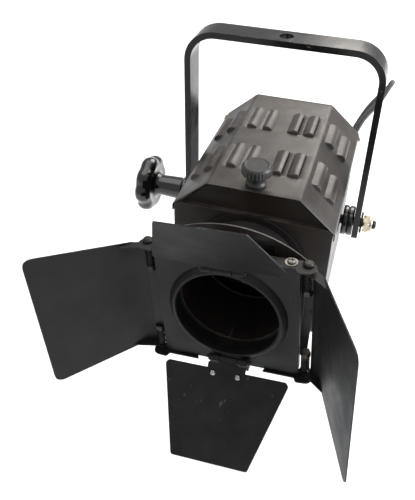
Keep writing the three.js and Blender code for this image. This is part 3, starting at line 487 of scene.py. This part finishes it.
def smooth_path(points, steps=12):
    """A Catmull-Rom line through the points."""
    points = [Vector(p) for p in points]
    points = [points[0] * 2 - points[1]] + points + [points[-1] * 2 - points[-2]]
    result = []
    for a, b, c, d in zip(points, points[1:], points[2:], points[3:]):
        for k in range(steps):
            t = k / steps
            cubic = (b * 3 - a - c * 3 + d) * t ** 3
            square = (a * 2 - b * 5 + c * 4 - d) * t ** 2
            result.append((b * 2 + (c - a) * t + square + cubic) / 2)
    result.append(points[-2])
    return result


def dress(node, slot, bevel_mm, look=None):
    """Gives a CAD node its finish and small rounded edges, without touching its mesh."""
    piece = frame["nodes"][node]
    piece.data.materials.clear()
    piece.data.materials.append(look or LOOKS[slot])
    piece.data.polygons.foreach_set("use_smooth", [True] * len(piece.data.polygons))
    weld = piece.modifiers.new("weld", "WELD")
    weld.merge_threshold = 1e-5
    if bevel_mm:
        bevel = piece.modifiers.new("edge_radius", "BEVEL")
        bevel.width = bevel_mm * MM
        bevel.segments = 2
        bevel.limit_method = "ANGLE"
        bevel.angle_limit = radians(38)
    piece.modifiers.new("flat_normals", "WEIGHTED_NORMAL")


def dress_visible_nodes():
    """Dresses every CAD node that no piece replaces. Small hinge and pivot hardware is blackened."""
    for part in frame["record"]["subparts"]:
        node = part["node"]
        if frame["nodes"][node].hide_render:
            continue
        dark = node.startswith(("hinge_bolt", "pivot_washer")) or node.endswith("hinge_pin")
        edge = 0.6 if node == "yoke" else 0.25
        dress(node, part["material_slot"], edge, SOOT_LOOK if dark else None)


# ---- roof cover: a folded sheet with pressed louvres ----
ROOF_SHEET = 1.2
FOLD_REACH = 1.6        # how far a fold's rounding reaches along the sheet
LOUVRE_LENGTH = 42
LOUVRE_WIDTH = 11.2
LOUVRE_HEIGHT = 3.5
LOUVRE_CORNER = 3.6
LOUVRE_WALL = 2.6
LOUVRE_STEPS = 16
LOUVRE_ROWS = (-50, 28)
TOP_SLITS = (18, 34)
SLOPE_SLITS = (16.5, 34)


def roof_path():
    """Half of the roof's cross section, from the ridge's middle outwards: its corners and its lengths."""
    slope = Vector((HALF_W - RIDGE_HALF_W, EAVE_Z - RIDGE_Z))
    corners = [Vector((0, RIDGE_Z)), Vector((RIDGE_HALF_W, RIDGE_Z)),
               Vector((HALF_W, EAVE_Z)), Vector((HALF_W, SKIRT_Z))]
    lengths = [RIDGE_HALF_W, slope.length, EAVE_Z - SKIRT_Z]
    return corners, lengths


def roof_point(s):
    """Point and outward normal at signed distance s from the ridge's middle, with softened folds."""
    corners, lengths = roof_path()
    side = -1 if s < 0 else 1
    s = abs(s)
    start = 0.0
    for i, length in enumerate(lengths):
        along = (corners[i + 1] - corners[i]).normalized()
        if s <= start + length or i == len(lengths) - 1:
            point = corners[i] + along * (s - start)
            normal = Vector((-along.y, along.x))
            for bend, other in ((start, i - 1), (start + length, i + 1)):
                overlap = FOLD_REACH - abs(s - bend)
                if overlap > 0 and 0 <= other < len(lengths):
                    beyond = (corners[other + 1] - corners[other]).normalized()
                    share = overlap / FOLD_REACH / 2
                    normal = (normal * (1 - share) + Vector((-beyond.y, beyond.x)) * share).normalized()
                    point = point - normal * overlap ** 2 / FOLD_REACH * 0.28
            return Vector((side * point.x, 0, point.y)), Vector((side * normal.x, 0, normal.y))
        start += length


def louvre_columns():
    """Distance along the sheet of each slit, measured from the ridge's middle."""
    for u in TOP_SLITS:
        yield u
    for u in SLOPE_SLITS:
        yield RIDGE_HALF_W + u


def louvre_height(back, along):
    """Height of a pressing, from the distance back from its slit and the distance from its row's middle.

    The pressing is a rounded oblong pillow: its crown is nearer to the slit than to its back edge."""
    from_back = LOUVRE_WIDTH - back
    from_end = LOUVRE_LENGTH / 2 - along
    if min(back, from_back, from_end) < 0:
        return 0.0
    inside = min(from_back, from_end)
    if from_back < LOUVRE_CORNER and from_end < LOUVRE_CORNER:
        inside = LOUVRE_CORNER - hypot(LOUVRE_CORNER - from_back, LOUVRE_CORNER - from_end)
    if inside <= 0:
        return 0.0
    wall = sin(min(inside / LOUVRE_WALL, 1) * pi / 2) ** 0.8
    pillow = sin(from_back / LOUVRE_WIDTH * pi * 0.76)
    return LOUVRE_HEIGHT * min(wall, pillow)


def sheet_lines(marks, low, high, coarse):
    """Grid lines from low to high that pass through every mark, about coarse apart at most."""
    marks = sorted(set([low, high] + [m for m in marks if low < m < high]))
    lines = []
    for a, b in zip(marks, marks[1:]):
        count = max(1, round((b - a) / coarse))
        lines += [a + (b - a) * k / count for k in range(count)]
    return lines + [high]


def build_roof():
    lengths = roof_path()[1]
    half = sum(lengths)
    fold_marks = [RIDGE_HALF_W, RIDGE_HALF_W + lengths[1]]
    near_fold = [FOLD_REACH * share for share in (-1, -0.5, 0, 0.5, 1)]
    s_marks = [side * (mark + d) for mark in fold_marks for d in near_fold for side in (-1, 1)]
    for slit in louvre_columns():
        for k in range(LOUVRE_STEPS + 1):
            back = LOUVRE_WIDTH * k / LOUVRE_STEPS
            s_marks += [slit - back, back - slit]
    y_marks = []
    for row in LOUVRE_ROWS:
        for k in range(9):
            reach = LOUVRE_LENGTH / 2 - LOUVRE_CORNER * 1.4 * k / 8
            y_marks += [row - reach, row + reach]
    s_lines = sheet_lines(s_marks, -half, half, 6)
    y_lines = sheet_lines(y_marks, FRONT, REAR, 6)
    bm = bmesh.new()
    known = {}

    def vertex(s, y, height):
        key = (round(s, 3), round(y, 3), round(height, 2))
        if key not in known:
            point, normal = roof_point(s)
            known[key] = bm.verts.new(point + normal * height + Vector((0, y, 0)))
        return known[key]

    for s0, s1 in zip(s_lines, s_lines[1:]):
        side = -1 if (s0 + s1) < 0 else 1
        middle = abs(s0 + s1) / 2
        slits = [slit for slit in louvre_columns() if slit - LOUVRE_WIDTH < middle < slit]
        for y0, y1 in zip(y_lines, y_lines[1:]):
            rows = [row for row in LOUVRE_ROWS if abs((y0 + y1) / 2 - row) < LOUVRE_LENGTH / 2]
            corners = []
            for s, y in ((s0, y0), (s1, y0), (s1, y1), (s0, y1)):
                height = 0.0
                if slits and rows:
                    back = min(max(slits[0] - side * s, 0), LOUVRE_WIDTH)
                    height = louvre_height(back, abs(y - rows[0]))
                corners.append(vertex(s, y, height))
            bm.faces.new(list(dict.fromkeys(corners)))
    piece = make_piece("roof_cover_sheet", bm, "roof_cover", "housing_paint", ["roof_cover"])
    up = [p for p in piece.data.polygons if p.normal.z > 0]
    if len(up) * 2 < len(piece.data.polygons):
        piece.data.flip_normals()
    thick = piece.modifiers.new("sheet", "SOLIDIFY")
    thick.thickness = ROOF_SHEET * MM
    thick.offset = -1
    piece.modifiers.new("flat_normals", "WEIGHTED_NORMAL").keep_sharp = True


# ---- knobs and handwheel ----
def build_roof_knob():
    z = RIDGE_Z + GAP
    y = box_mm("roof_knob")[0].y + 14
    outline = [(0, z - 12), (2.9, z - 12), (2.9, z), (9.5, z), (9.5, z + 2), (7.6, z + 4), (7.6, z + 9.5),
               (13.4, z + 11.6), (13.4, z + 18.6), (12, z + 20.3), (10.6, z + 20.6), (9.8, z + 20),
               (0, z + 20.4)]

    def knurl(angle, r, h):
        return r + 0.42 * (1 - abs(2 * ((angle * 30 / pi / 2) % 1) - 1)) if r > 13 and h < z + 18.8 else r

    bm = revolve(rounded(outline, 0.9), 180, shape=knurl)
    make_piece("roof_knob_cap", bm, "roof_knob", "black_plastic", ["roof_knob"], at(0, y, 0), look=KNOB_LOOK)


def build_focus_knob():
    low, high = box_mm("focus_knob")
    centre_y = (low.y + high.y) / 2
    z = low.z
    outline = [(0, z), (8.4, z), (10.6, z + 1.6), (10.6, z + 13.6), (7, z + 17), (7, z + 23), (9, z + 24),
               (9, z + 26), (3.2, z + 26), (3.2, high.z), (0, high.z)]

    def knurl(angle, r, h):
        return r + 0.4 * (1 - abs(2 * ((angle * 24 / pi / 2) % 1) - 1)) if r > 10.2 else r

    bm = revolve(rounded(outline, 0.8), 144, shape=knurl)
    make_piece("focus_knob_grip", bm, "focus_knob", "black_plastic", ["focus_knob"], at(0, centre_y, 0))


def build_handwheel():
    """Thick lobed ring on a waisted hub, drawn along +Z and turned to point left."""
    start = YOKE_HALF_W + 2 + GAP
    rim = 31.4
    outline = [(5.2, start), (14.4, start), (14.4, start + 4), (12.6, start + 5.6), (12.2, start + 16),
               (11.4, start + 31), (13.5, start + 35.4), (17, start + 36.4), (rim - 7, start + 35.4),
               (rim - 1.6, start + 38), (rim, start + 43), (rim, start + 46), (rim - 1.6, start + 50.6),
               (rim - 6, start + 53.4), (rim - 10.5, start + 51), (rim - 12, start + 47.4), (11, start + 47),
               (9, start + 51.6), (7, start + 52.6), (0, start + 53)]

    def lobes(angle, r, h):
        if r < 21:
            return r
        share = min(1.0, (r - 21) / 6)
        return r - 2.2 * share * (0.5 - 0.5 * cos(8 * angle)) ** 1.5

    profile = rounded(outline, 2.6, 4) + [(0, start + 30), (5.2, start + 30)]
    bm = revolve(profile, 160, closed=True, shape=lobes)
    make_piece("handwheel", bm, "tilt_handwheel", "black_plastic", ["tilt_handwheel"], TO_LEFT)


# ---- optics ----
def build_lens():
    """Plano-convex lens cut into rings, flat at the back."""
    front = box_mm("fresnel_lens")[0].y
    back = box_mm("fresnel_lens")[1].y
    steps = 13
    edge = LENS_R - 4
    profile = [(0, 0)]
    for k in range(steps):
        r0, r1 = edge * k / steps, edge * (k + 1) / steps
        drop = 0.5 + 2.3 * (k + 1) / steps
        if k:
            profile.append((r0 + 0.25, 0))
        for part in (0.35, 0.7, 1.0):
            profile.append((r0 + (r1 - r0) * part, drop * part ** 1.6))
    depth = back - front
    profile += [(edge, 2.0), (LENS_R - GAP, 2.0), (LENS_R - GAP, depth), (0, depth)]
    bm = revolve(profile, 128)
    make_piece("lens_glass", bm, "housing", "lens_glass", ["fresnel_lens"], at(0, front, OPTIC_Z) @ TURN["y"])


def build_lens_ring():
    front = box_mm("lens_ring")[0].y
    outline = [(LENS_R - 5, 0), (LENS_R + 2.4, 0), (LENS_R + 3, 0.8), (LENS_R + 3, 12), (LENS_R, 12),
               (LENS_R, 2.2), (LENS_R - 5, 2.2)]
    bm = revolve(rounded(outline, 0.5, 2, True), 144, closed=True)
    make_piece("lens_holder_ring", bm, "housing", "inside_paint", ["lens_ring"],
               at(0, front, OPTIC_Z) @ TURN["y"])


def build_reflector():
    back = box_mm("reflector")[1].y
    radius = 34
    profile = []
    for inner in (False, True):
        arc = [radians(58) * k / 18 for k in range(19)]
        size = radius - 1.5 if inner else radius
        points = [(size * sin(a), size * cos(a)) for a in arc]
        profile += reversed(points) if inner else points
    profile[0] = (0, radius)
    profile[-1] = (0, radius - 1.5)
    bm = revolve(profile, 96)
    make_piece("spherical_reflector", bm, "lamp_carriage", "reflector_metal", ["reflector"],
               at(0, back - radius, OPTIC_Z) @ TURN["y"])


def build_lamp():
    low, high = box_mm("lamp")
    x, y = (low.x + high.x) / 2, (low.y + high.y) / 2
    z = low.z + 8
    outline = [(0, z), (6, z), (6.2, z + 6), (6.9, z + 9), (7.4, z + 22), (6.9, z + 34), (5, z + 40),
               (2.2, z + 42.4), (0, z + 43)]
    bm = revolve(rounded(outline, 2.5, 4), 64)
    make_piece("lamp_envelope", bm, "lamp_carriage", "lamp_glass", ["lamp"], at(x, y, 0))
    coil = []
    for k in range(121):
        angle = 2 * pi * 10 * k / 120
        coil.append((x - 4.5 + 9 * k / 120, y + 1.1 * cos(angle), z + 22 + 1.1 * sin(angle)))
    bm = sweep([(x - 4.5, y, z - 6), (x - 4.5, y + 0.5, z + 20)] + coil + [(x + 4.5, y + 0.5, z + 20),
                (x + 4.5, y, z - 6)], 0.35, 6)
    make_piece("lamp_filament", bm, "lamp_carriage", "bright_steel")


# ---- front: hood, bezel, barn door plate ----
def build_hood():
    low, high = box_mm("front_hood")
    inner = APERTURE_R + 1
    rim = APERTURE_R + 9
    outline = [(inner, low.y), (inner + 1.6, low.y), (inner + 1.6, high.y - 2.6), (rim, high.y - 2.6),
               (rim, high.y), (inner, high.y)]
    bm = revolve(rounded(outline, 0.5, 2, True), 144, closed=True)
    # The hood tube wears the darker inside paint in place of its housing paint: painted shade, so that its lit top
    # stays as dark as the shade it sits in
    make_piece("hood_tube", bm, "housing", "housing_paint", ["front_hood"], at(0, 0, OPTIC_Z) @ TURN["y"],
               look=LOOKS["inside_paint"])


def bezel_outline():
    dome_r, dome_z, shoulder = 100, -9.5, 62
    rise = sqrt(dome_r ** 2 - shoulder ** 2) + dome_z
    first = acos(shoulder / dome_r)
    arc = [first + (pi - 2 * first) * k / 40 for k in range(41)]
    points = [(-50, -62), (50, -62), (62, -24), (76, 8), (76, 54), (shoulder, rise)]
    points += [(dome_r * cos(a), dome_r * sin(a) + dome_z) for a in arc[1:-1]]
    points += [(-shoulder, rise), (-76, 54), (-76, 8), (-62, -24)]
    return [(u, v - OPTIC_Z) for u, v in points]


def build_bezel():
    low, high = box_mm("front_bezel")
    bm = bmesh.new()
    plate_with_hole(bm, bezel_outline(), APERTURE_R + 1, -high.y, -low.y)
    stand = at(0, 0, OPTIC_Z) @ Matrix.Rotation(pi / 2, 4, "X")
    make_piece("bezel_plate", bm, "housing", "housing_paint", ["front_bezel"], stand, bevel=0.3)


def door_matrix():
    """The turned barn door's own frame: centre of the plate's face, +Y to the rear."""
    across = Vector(JOINTS["bottom_leaf_fold"]["axis"])
    up = Vector(JOINTS["right_leaf_fold"]["axis"])
    centre = (Vector(JOINTS["barn_door_turn"]["pos_m"]) - PIVOT) / MM
    matrix = Matrix((across, Vector((0, 1, 0)), up)).transposed().to_4x4()
    return at(*centre) @ matrix


DOOR = door_matrix()


def build_door_plate():
    bm = bmesh.new()
    corner = 1.5
    outline = rounded([(-DOOR_HALF, -DOOR_HALF), (DOOR_HALF, -DOOR_HALF), (DOOR_HALF, DOOR_HALF),
                       (-DOOR_HALF, DOOR_HALF)], corner, 3, True)
    plate_with_hole(bm, outline, APERTURE_R, -THIN, 0)
    stand = Matrix.Rotation(pi / 2, 4, "X")
    bm.transform(stand)
    for k in range(4):
        flange = bmesh.new()
        reach = 58 if k % 2 == 0 else 56
        slab(flange, (-reach, 0.4, DOOR_HALF - THIN), (reach, 8, DOOR_HALF))
        flange.transform(Matrix.Rotation(k * pi / 2, 4, "Y"))
        join(bm, flange)
    make_piece("door_plate", bm, "barn_door", "door_paint", ["barn_door_plate"], DOOR, bevel=0.35)
    r = APERTURE_R
    lip = [(r - 0.2, 0.4), (r - 0.2, -4.4), (r + 0.6, -5), (r + 2.4, -4.7), (r + 5.6, -1.8), (r + 6.8, -0.1),
           (r + 6.8, 0.4)]
    bm = revolve(rounded(lip, 0.9, 3, True), 160, closed=True)
    make_piece("door_rolled_lip", bm, "barn_door", "door_paint", (), DOOR @ TURN["y"])
    collar = [(r + 2.4, 1.2), (r + 4, 1.2), (r + 4, 12.2), (r + 2.4, 12.2)]
    bm = revolve(collar, 144, closed=True)
    make_piece("door_collar", bm, "barn_door", "door_paint", (), DOOR @ TURN["y"])


def build_hinge_backing():
    """Strip from the plate's left edge to just past the hinge line, inside the circle the leaf sweeps."""
    hinge_x, hinge_y = SIDE_HINGE
    half_height = 34
    bm = bmesh.new()
    slab(bm, (-hinge_x - 4.2, hinge_y - 0.6, -half_height), (0.3 - DOOR_HALF, hinge_y + 0.6, half_height))
    make_piece("hinge_backing_left", bm, "barn_door", "door_paint", (), DOOR, bevel=0.2)


# ---- fasteners ----
def screw_head(target, radius, height, place, washer=0.0):
    """Adds a pan head with a cross recess, standing on +Z, with a washer under it if asked for."""
    bm = bmesh.new()
    base = 0.7 if washer else 0.0
    top = base + height
    outline = [(0, base), (radius, base), (radius, base + height * 0.45), (radius * 0.72, top), (0, top)]
    outline = rounded(outline, radius * 0.3, 3)
    outline[-1:-1] = [(radius * share, top) for share in (0.55, 0.4, 0.25, 0.12)]
    revolve(outline, 32, bm=bm)
    for v in bm.verts:
        reach, slim = sorted((abs(v.co.x), abs(v.co.y)), reverse=True)
        if v.co.z > top - 0.05 and reach < radius * 0.56 and slim < radius * 0.14:
            v.co.z -= height * 0.35
    if washer:
        revolve([(0, 0), (washer, 0), (washer, 0.7), (0, 0.7)], 40, bm=bm)
    bm.transform(place)
    join(target, bm)


def face_along(direction):
    """Turns +Z to a direction."""
    return Vector((0, 0, 1)).rotation_difference(Vector(direction)).to_matrix().to_4x4()


def screws(name, body, slot, spots, direction, radius, height, washer=0.0, frame_of=Matrix.Identity(4),
           look=None):
    """Equal screws as one piece. spots are their feet, in the frame that frame_of gives."""
    bm = bmesh.new()
    for spot in spots:
        screw_head(bm, radius, height, frame_of @ at(*spot) @ face_along(direction), washer)
    make_piece(name, bm, body, slot, look=look)


def build_leaf_screws():
    """Pairs of screws that fix each level leaf to its hinge flap, on the face seen from above."""
    y, z = END_HINGE
    back = 13.6
    a = radians(BOTTOM_OPEN)
    inward = Vector((0, -sin(a), cos(a)))
    foot = Vector((0, y - back * cos(a), -z - back * sin(a))) + inward * THIN / 2
    spots = [(x, foot.y, foot.z) for x in (-11.5, 11.5)]
    screws("bottom_leaf_screws", "bottom_leaf", "bright_steel", spots, inward, 2.6, 1.6, 0, DOOR)
    a = radians(TOP_OPEN)
    outward = Vector((0, sin(a), cos(a)))
    foot = Vector((0, y - back * cos(a), z + back * sin(a))) + outward * THIN / 2
    spots = [(x, foot.y, foot.z) for x in (-11.5, 11.5)]
    screws("top_leaf_screws", "top_leaf", "zinc", spots, outward, 2.6, 1.6, 0, DOOR, SOOT_LOOK)


def build_ear_screws():
    """Screws that clamp the ears, above and below the plate."""
    x, y = EAR_SCREW
    for level, name in ((1, "ear_screws_top"), (-1, "ear_screws_bottom")):
        spots = [(side * x, y, level * EAR_FACE) for side in (-1, 1)]
        screws(name, "barn_door", "zinc", spots, (0, 0, level), 3.4, 2.2, 5.2, DOOR, AGED_LOOK)


def build_wall_screws():
    """Cover screws on the rear wall and beside the bezel's upright edges."""
    low, high = box_mm("rear_wall")
    spots = [(s * (high.x - 9), high.y, z) for s in (-1, 1) for z in (low.z + 9, EAVE_Z - 14)]
    screws("rear_wall_screws", "housing", "zinc", spots, (0, 1, 0), 3.2, 2.0, 0, look=SOOT_LOOK)
    front = box_mm("front_bezel")[0].y
    spots = [(s * 70, front, z) for s in (-1, 1) for z in (18, 48)]
    screws("bezel_screws", "housing", "zinc", spots, (0, -1, 0), 2.8, 1.8, 0, look=SOOT_LOOK)


def build_springs():
    """Friction springs on the side leaves' hinge bolts, between the leaf's lug and the bolt's nut."""
    hinge_x, hinge_y = SIDE_HINGE
    radius, wire = 3.4, 0.55
    start, length = 57.4, 18.6
    turns, steps = 7, 14
    for corner, side, level in (("top_left", -1, 1), ("top_right", 1, 1),
                                ("bottom_left", -1, -1), ("bottom_right", 1, -1)):
        points = []
        for k in range(turns * steps + 1):
            angle = 2 * pi * k / steps
            height = level * (start - length * k / (turns * steps))
            points.append((side * hinge_x + radius * cos(angle), hinge_y + radius * sin(angle), height))
        bm = sweep(points, wire, 8)
        make_piece("hinge_spring_" + corner, bm, "barn_door", "bright_steel", (), DOOR, look=SOOT_LOOK)


def threaded(radius, pitch, start, end):
    """Profile points of a thread between two heights."""
    points = []
    h = start
    while h < end:
        points += [(radius, h), (radius - 0.5 * pitch, h + pitch / 2)]
        h += pitch
    return points


def build_pivot_hardware():
    low, high = box_mm("pivot_bolt")
    head = low.x
    thread = threaded(4.8, 1.25, YOKE_HALF_W + 2, high.x - 1.4)
    outline = [(0, head + 5), (4.8, head + 5), (4.8, YOKE_HALF_W + 1)] + thread
    outline += [(4.2, high.x - 1.0), (3.4, high.x), (0, high.x)]
    bm = revolve(outline, 48)
    bolt_head = [(0, head), (7.4, head), (8, head + 0.8), (8, head + 6.8), (0, head + 6.8)]
    revolve(bolt_head, 6, bm=bm)
    make_piece("pivot_stud", bm, "housing", "zinc", ["pivot_bolt"], TURN["x"], look=SOOT_LOOK)
    low, high = box_mm("lock_nut")
    flat = 8.5

    def hexagon(angle, r, h):
        to_flat = angle % (pi / 3) - pi / 6
        return min(r, flat / cos(to_flat)) if r > 8 else r

    outline = [(5.2, low.x), (8.7, low.x), (9.9, low.x + 1.2), (9.9, high.x - 4.0), (8.9, high.x - 3.1),
               (7.5, high.x - 2.8), (7.5, high.x - 0.9), (6.8, high.x), (5.9, high.x), (5.9, high.x - 0.8),
               (5.2, high.x - 0.8)]
    bm = revolve(outline, 72, closed=True, shape=hexagon)
    make_piece("nut_body", bm, "housing", "zinc", ["lock_nut"], TURN["x"])
    ring = [(4.9, high.x - 2.6), (5.8, high.x - 2.6), (5.8, high.x - 0.3), (4.9, high.x - 0.3)]
    bm = revolve(ring, 48, closed=True)
    make_piece("nut_insert", bm, "housing", "zinc", (), TURN["x"], look=NYLON_LOOK)


def build_spacers():
    inner = HALF_W + GAP
    outer = YOKE_HALF_W - 6.2 - GAP
    right = [(5.3, inner), (14.8, inner), (15.8, inner + 1), (15.8, inner + 5.0), (13.6, inner + 5.6),
             (15.8, inner + 6.2), (15.8, outer - 1), (14.8, outer), (5.3, outer)]
    left = [(5.3, inner), (11, inner), (11, outer - 3), (15.2, outer - 3), (15.8, outer - 2), (15.8, outer),
            (5.3, outer)]
    for name, outline, place in (("right", right, TURN["x"]), ("left", left, TO_LEFT)):
        bm = revolve(rounded(outline, 0.6, 3, True), 96, closed=True)
        make_piece(f"spacer_disc_{name}", bm, "housing", "black_plastic", [f"spacer_{name}"], place)


# ---- cable ----
def build_cable():
    gland = box_mm("cable_gland")
    x, z = (gland[0].x + gland[1].x) / 2, (gland[0].z + gland[1].z) / 2
    y = gland[1].y
    end = box_mm("supply_lead")[1]
    radius = 3.0
    path = [(x - 9, y - 40, z - 20), (x - 2, y - 24, z - 5), (x, y - 8, z), (x, y + 6, z),
            (x + 5, y + 20, z + 8), (x + 16, y + 30, z + 32), (x + 30, y + 40, z + 64),
            (end.x - 8, end.y - 5, end.z - 12),
            (end.x - 4, end.y - 3.4, end.z - 5), (end.x - 5, end.y - 9, end.z - 4),
            (end.x - 14, end.y - 16, end.z - 24), (x + 28, y + 30, z + 56), (x + 19, y + 30, z + 30)]
    bm = sweep(smooth_path(path, 10), radius, 14)
    cable = make_piece("mains_cable", bm, None, "grey_cable", ["cable_tail", "supply_lead"])
    cable.data.set_sharp_from_angle(angle=radians(50))
    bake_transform(cable)


def build_gland():
    low, high = box_mm("cable_gland")
    x, z = (low.x + high.x) / 2, (low.z + high.z) / 2
    back = low.y + 6
    outline = [(3.9, low.y), (7.4, low.y), (7.4, back), (11, back), (11, back + 5), (8.4, back + 7),
               (8.4, back + 13), (6, high.y), (3.9, high.y)]

    def grip(angle, r, h):
        if 8.2 < r < 8.6:
            return r - 0.5 * (0.5 + 0.5 * cos(12 * angle))
        return min(r, 9.6 / cos((angle + pi / 6) % (pi / 3) - pi / 6)) if r > 10 else r

    bm = revolve(rounded(outline, 0.5, 2, True), 96, closed=True, shape=grip)
    make_piece("gland_body", bm, "housing", "black_plastic", ["cable_gland"], at(x, 0, z) @ TURN["y"])


# ---- stage ----
CAMERA_PLACE = (0.0941, -0.5385, 0.3973)      # metres from the tilt axis
CAMERA_RIGHT = Vector((0.95511, 0.29589, 0.01435))
CAMERA_UP = Vector((-0.18368, 0.55352, 0.81232))


def build_camera():
    data = bpy.data.cameras.new("camera")
    data.sensor_width = 36
    data.lens = 44.77
    data.shift_x = -0.0112
    data.shift_y = -0.1026
    camera = bpy.data.objects.new("camera", data)
    back = CAMERA_RIGHT.cross(CAMERA_UP)
    turn = Matrix((CAMERA_RIGHT, CAMERA_UP, back)).transposed().to_4x4()
    camera.matrix_world = Matrix.Translation(PIVOT + Vector(CAMERA_PLACE)) @ turn
    bpy.context.scene.collection.objects.link(camera)
    bpy.context.scene.camera = camera


def area_light(name, place, aim, size, power, colour):
    data = bpy.data.lights.new(name, "AREA")
    data.shape = "RECTANGLE"
    data.size, data.size_y = size
    data.energy = power
    data.color = colour
    light = bpy.data.objects.new(name, data)
    light.location = PIVOT + Vector(place)
    light.rotation_euler = (PIVOT + Vector(aim) - light.location).to_track_quat("-Z", "Y").to_euler()
    bpy.context.scene.collection.objects.link(light)


def build_stage():
    floor_mesh = bpy.data.meshes.new("floor")
    bm = bmesh.new()
    bmesh.ops.create_grid(bm, x_segments=8, y_segments=8, size=6)
    bm.to_mesh(floor_mesh)
    bm.free()
    floor = bpy.data.objects.new("floor", floor_mesh)
    floor.location = (0, 0, cad_box[0].z - 0.16)
    bpy.context.scene.collection.objects.link(floor)
    n = Nodes("floor_paint")
    n.set(Base_Color=n.mix(n.noise(3, 4), (0.93, 0.93, 0.925), (0.96, 0.96, 0.955)), Roughness=0.85)
    floor_mesh.materials.append(n.material)
    world = bpy.data.worlds.new("soft_room")
    world.use_nodes = True
    world.node_tree.nodes["Background"].inputs["Color"].default_value = (0.95, 0.96, 1.0, 1)
    world.node_tree.nodes["Background"].inputs["Strength"].default_value = 0.60
    bpy.context.scene.world = world
    area_light("window", (0.35, 1.3, 1.25), (0, 0, 0), (1.2, 1.0), 26, (1.0, 0.95, 0.88))
    area_light("ceiling", (-0.4, 0.1, 1.6), (0, 0, 0), (1.6, 1.6), 16, (1.0, 0.97, 0.93))
    area_light("side", (1.5, 0.1, 0.7), (0, 0, 0), (0.9, 0.9), 34, (0.86, 0.92, 1.0))
    bpy.context.scene.view_settings.view_transform = "Standard"


# ---- assembly ----
build_roof()
build_roof_knob()
build_focus_knob()
build_handwheel()
build_lens()
build_lens_ring()
build_reflector()
build_lamp()
build_hood()
build_bezel()
build_door_plate()
build_hinge_backing()
build_springs()
build_pivot_hardware()
build_spacers()
build_cable()
build_gland()

build_leaf_screws()
build_wall_screws()
build_ear_screws()
dress_visible_nodes()
build_stage()
build_camera()
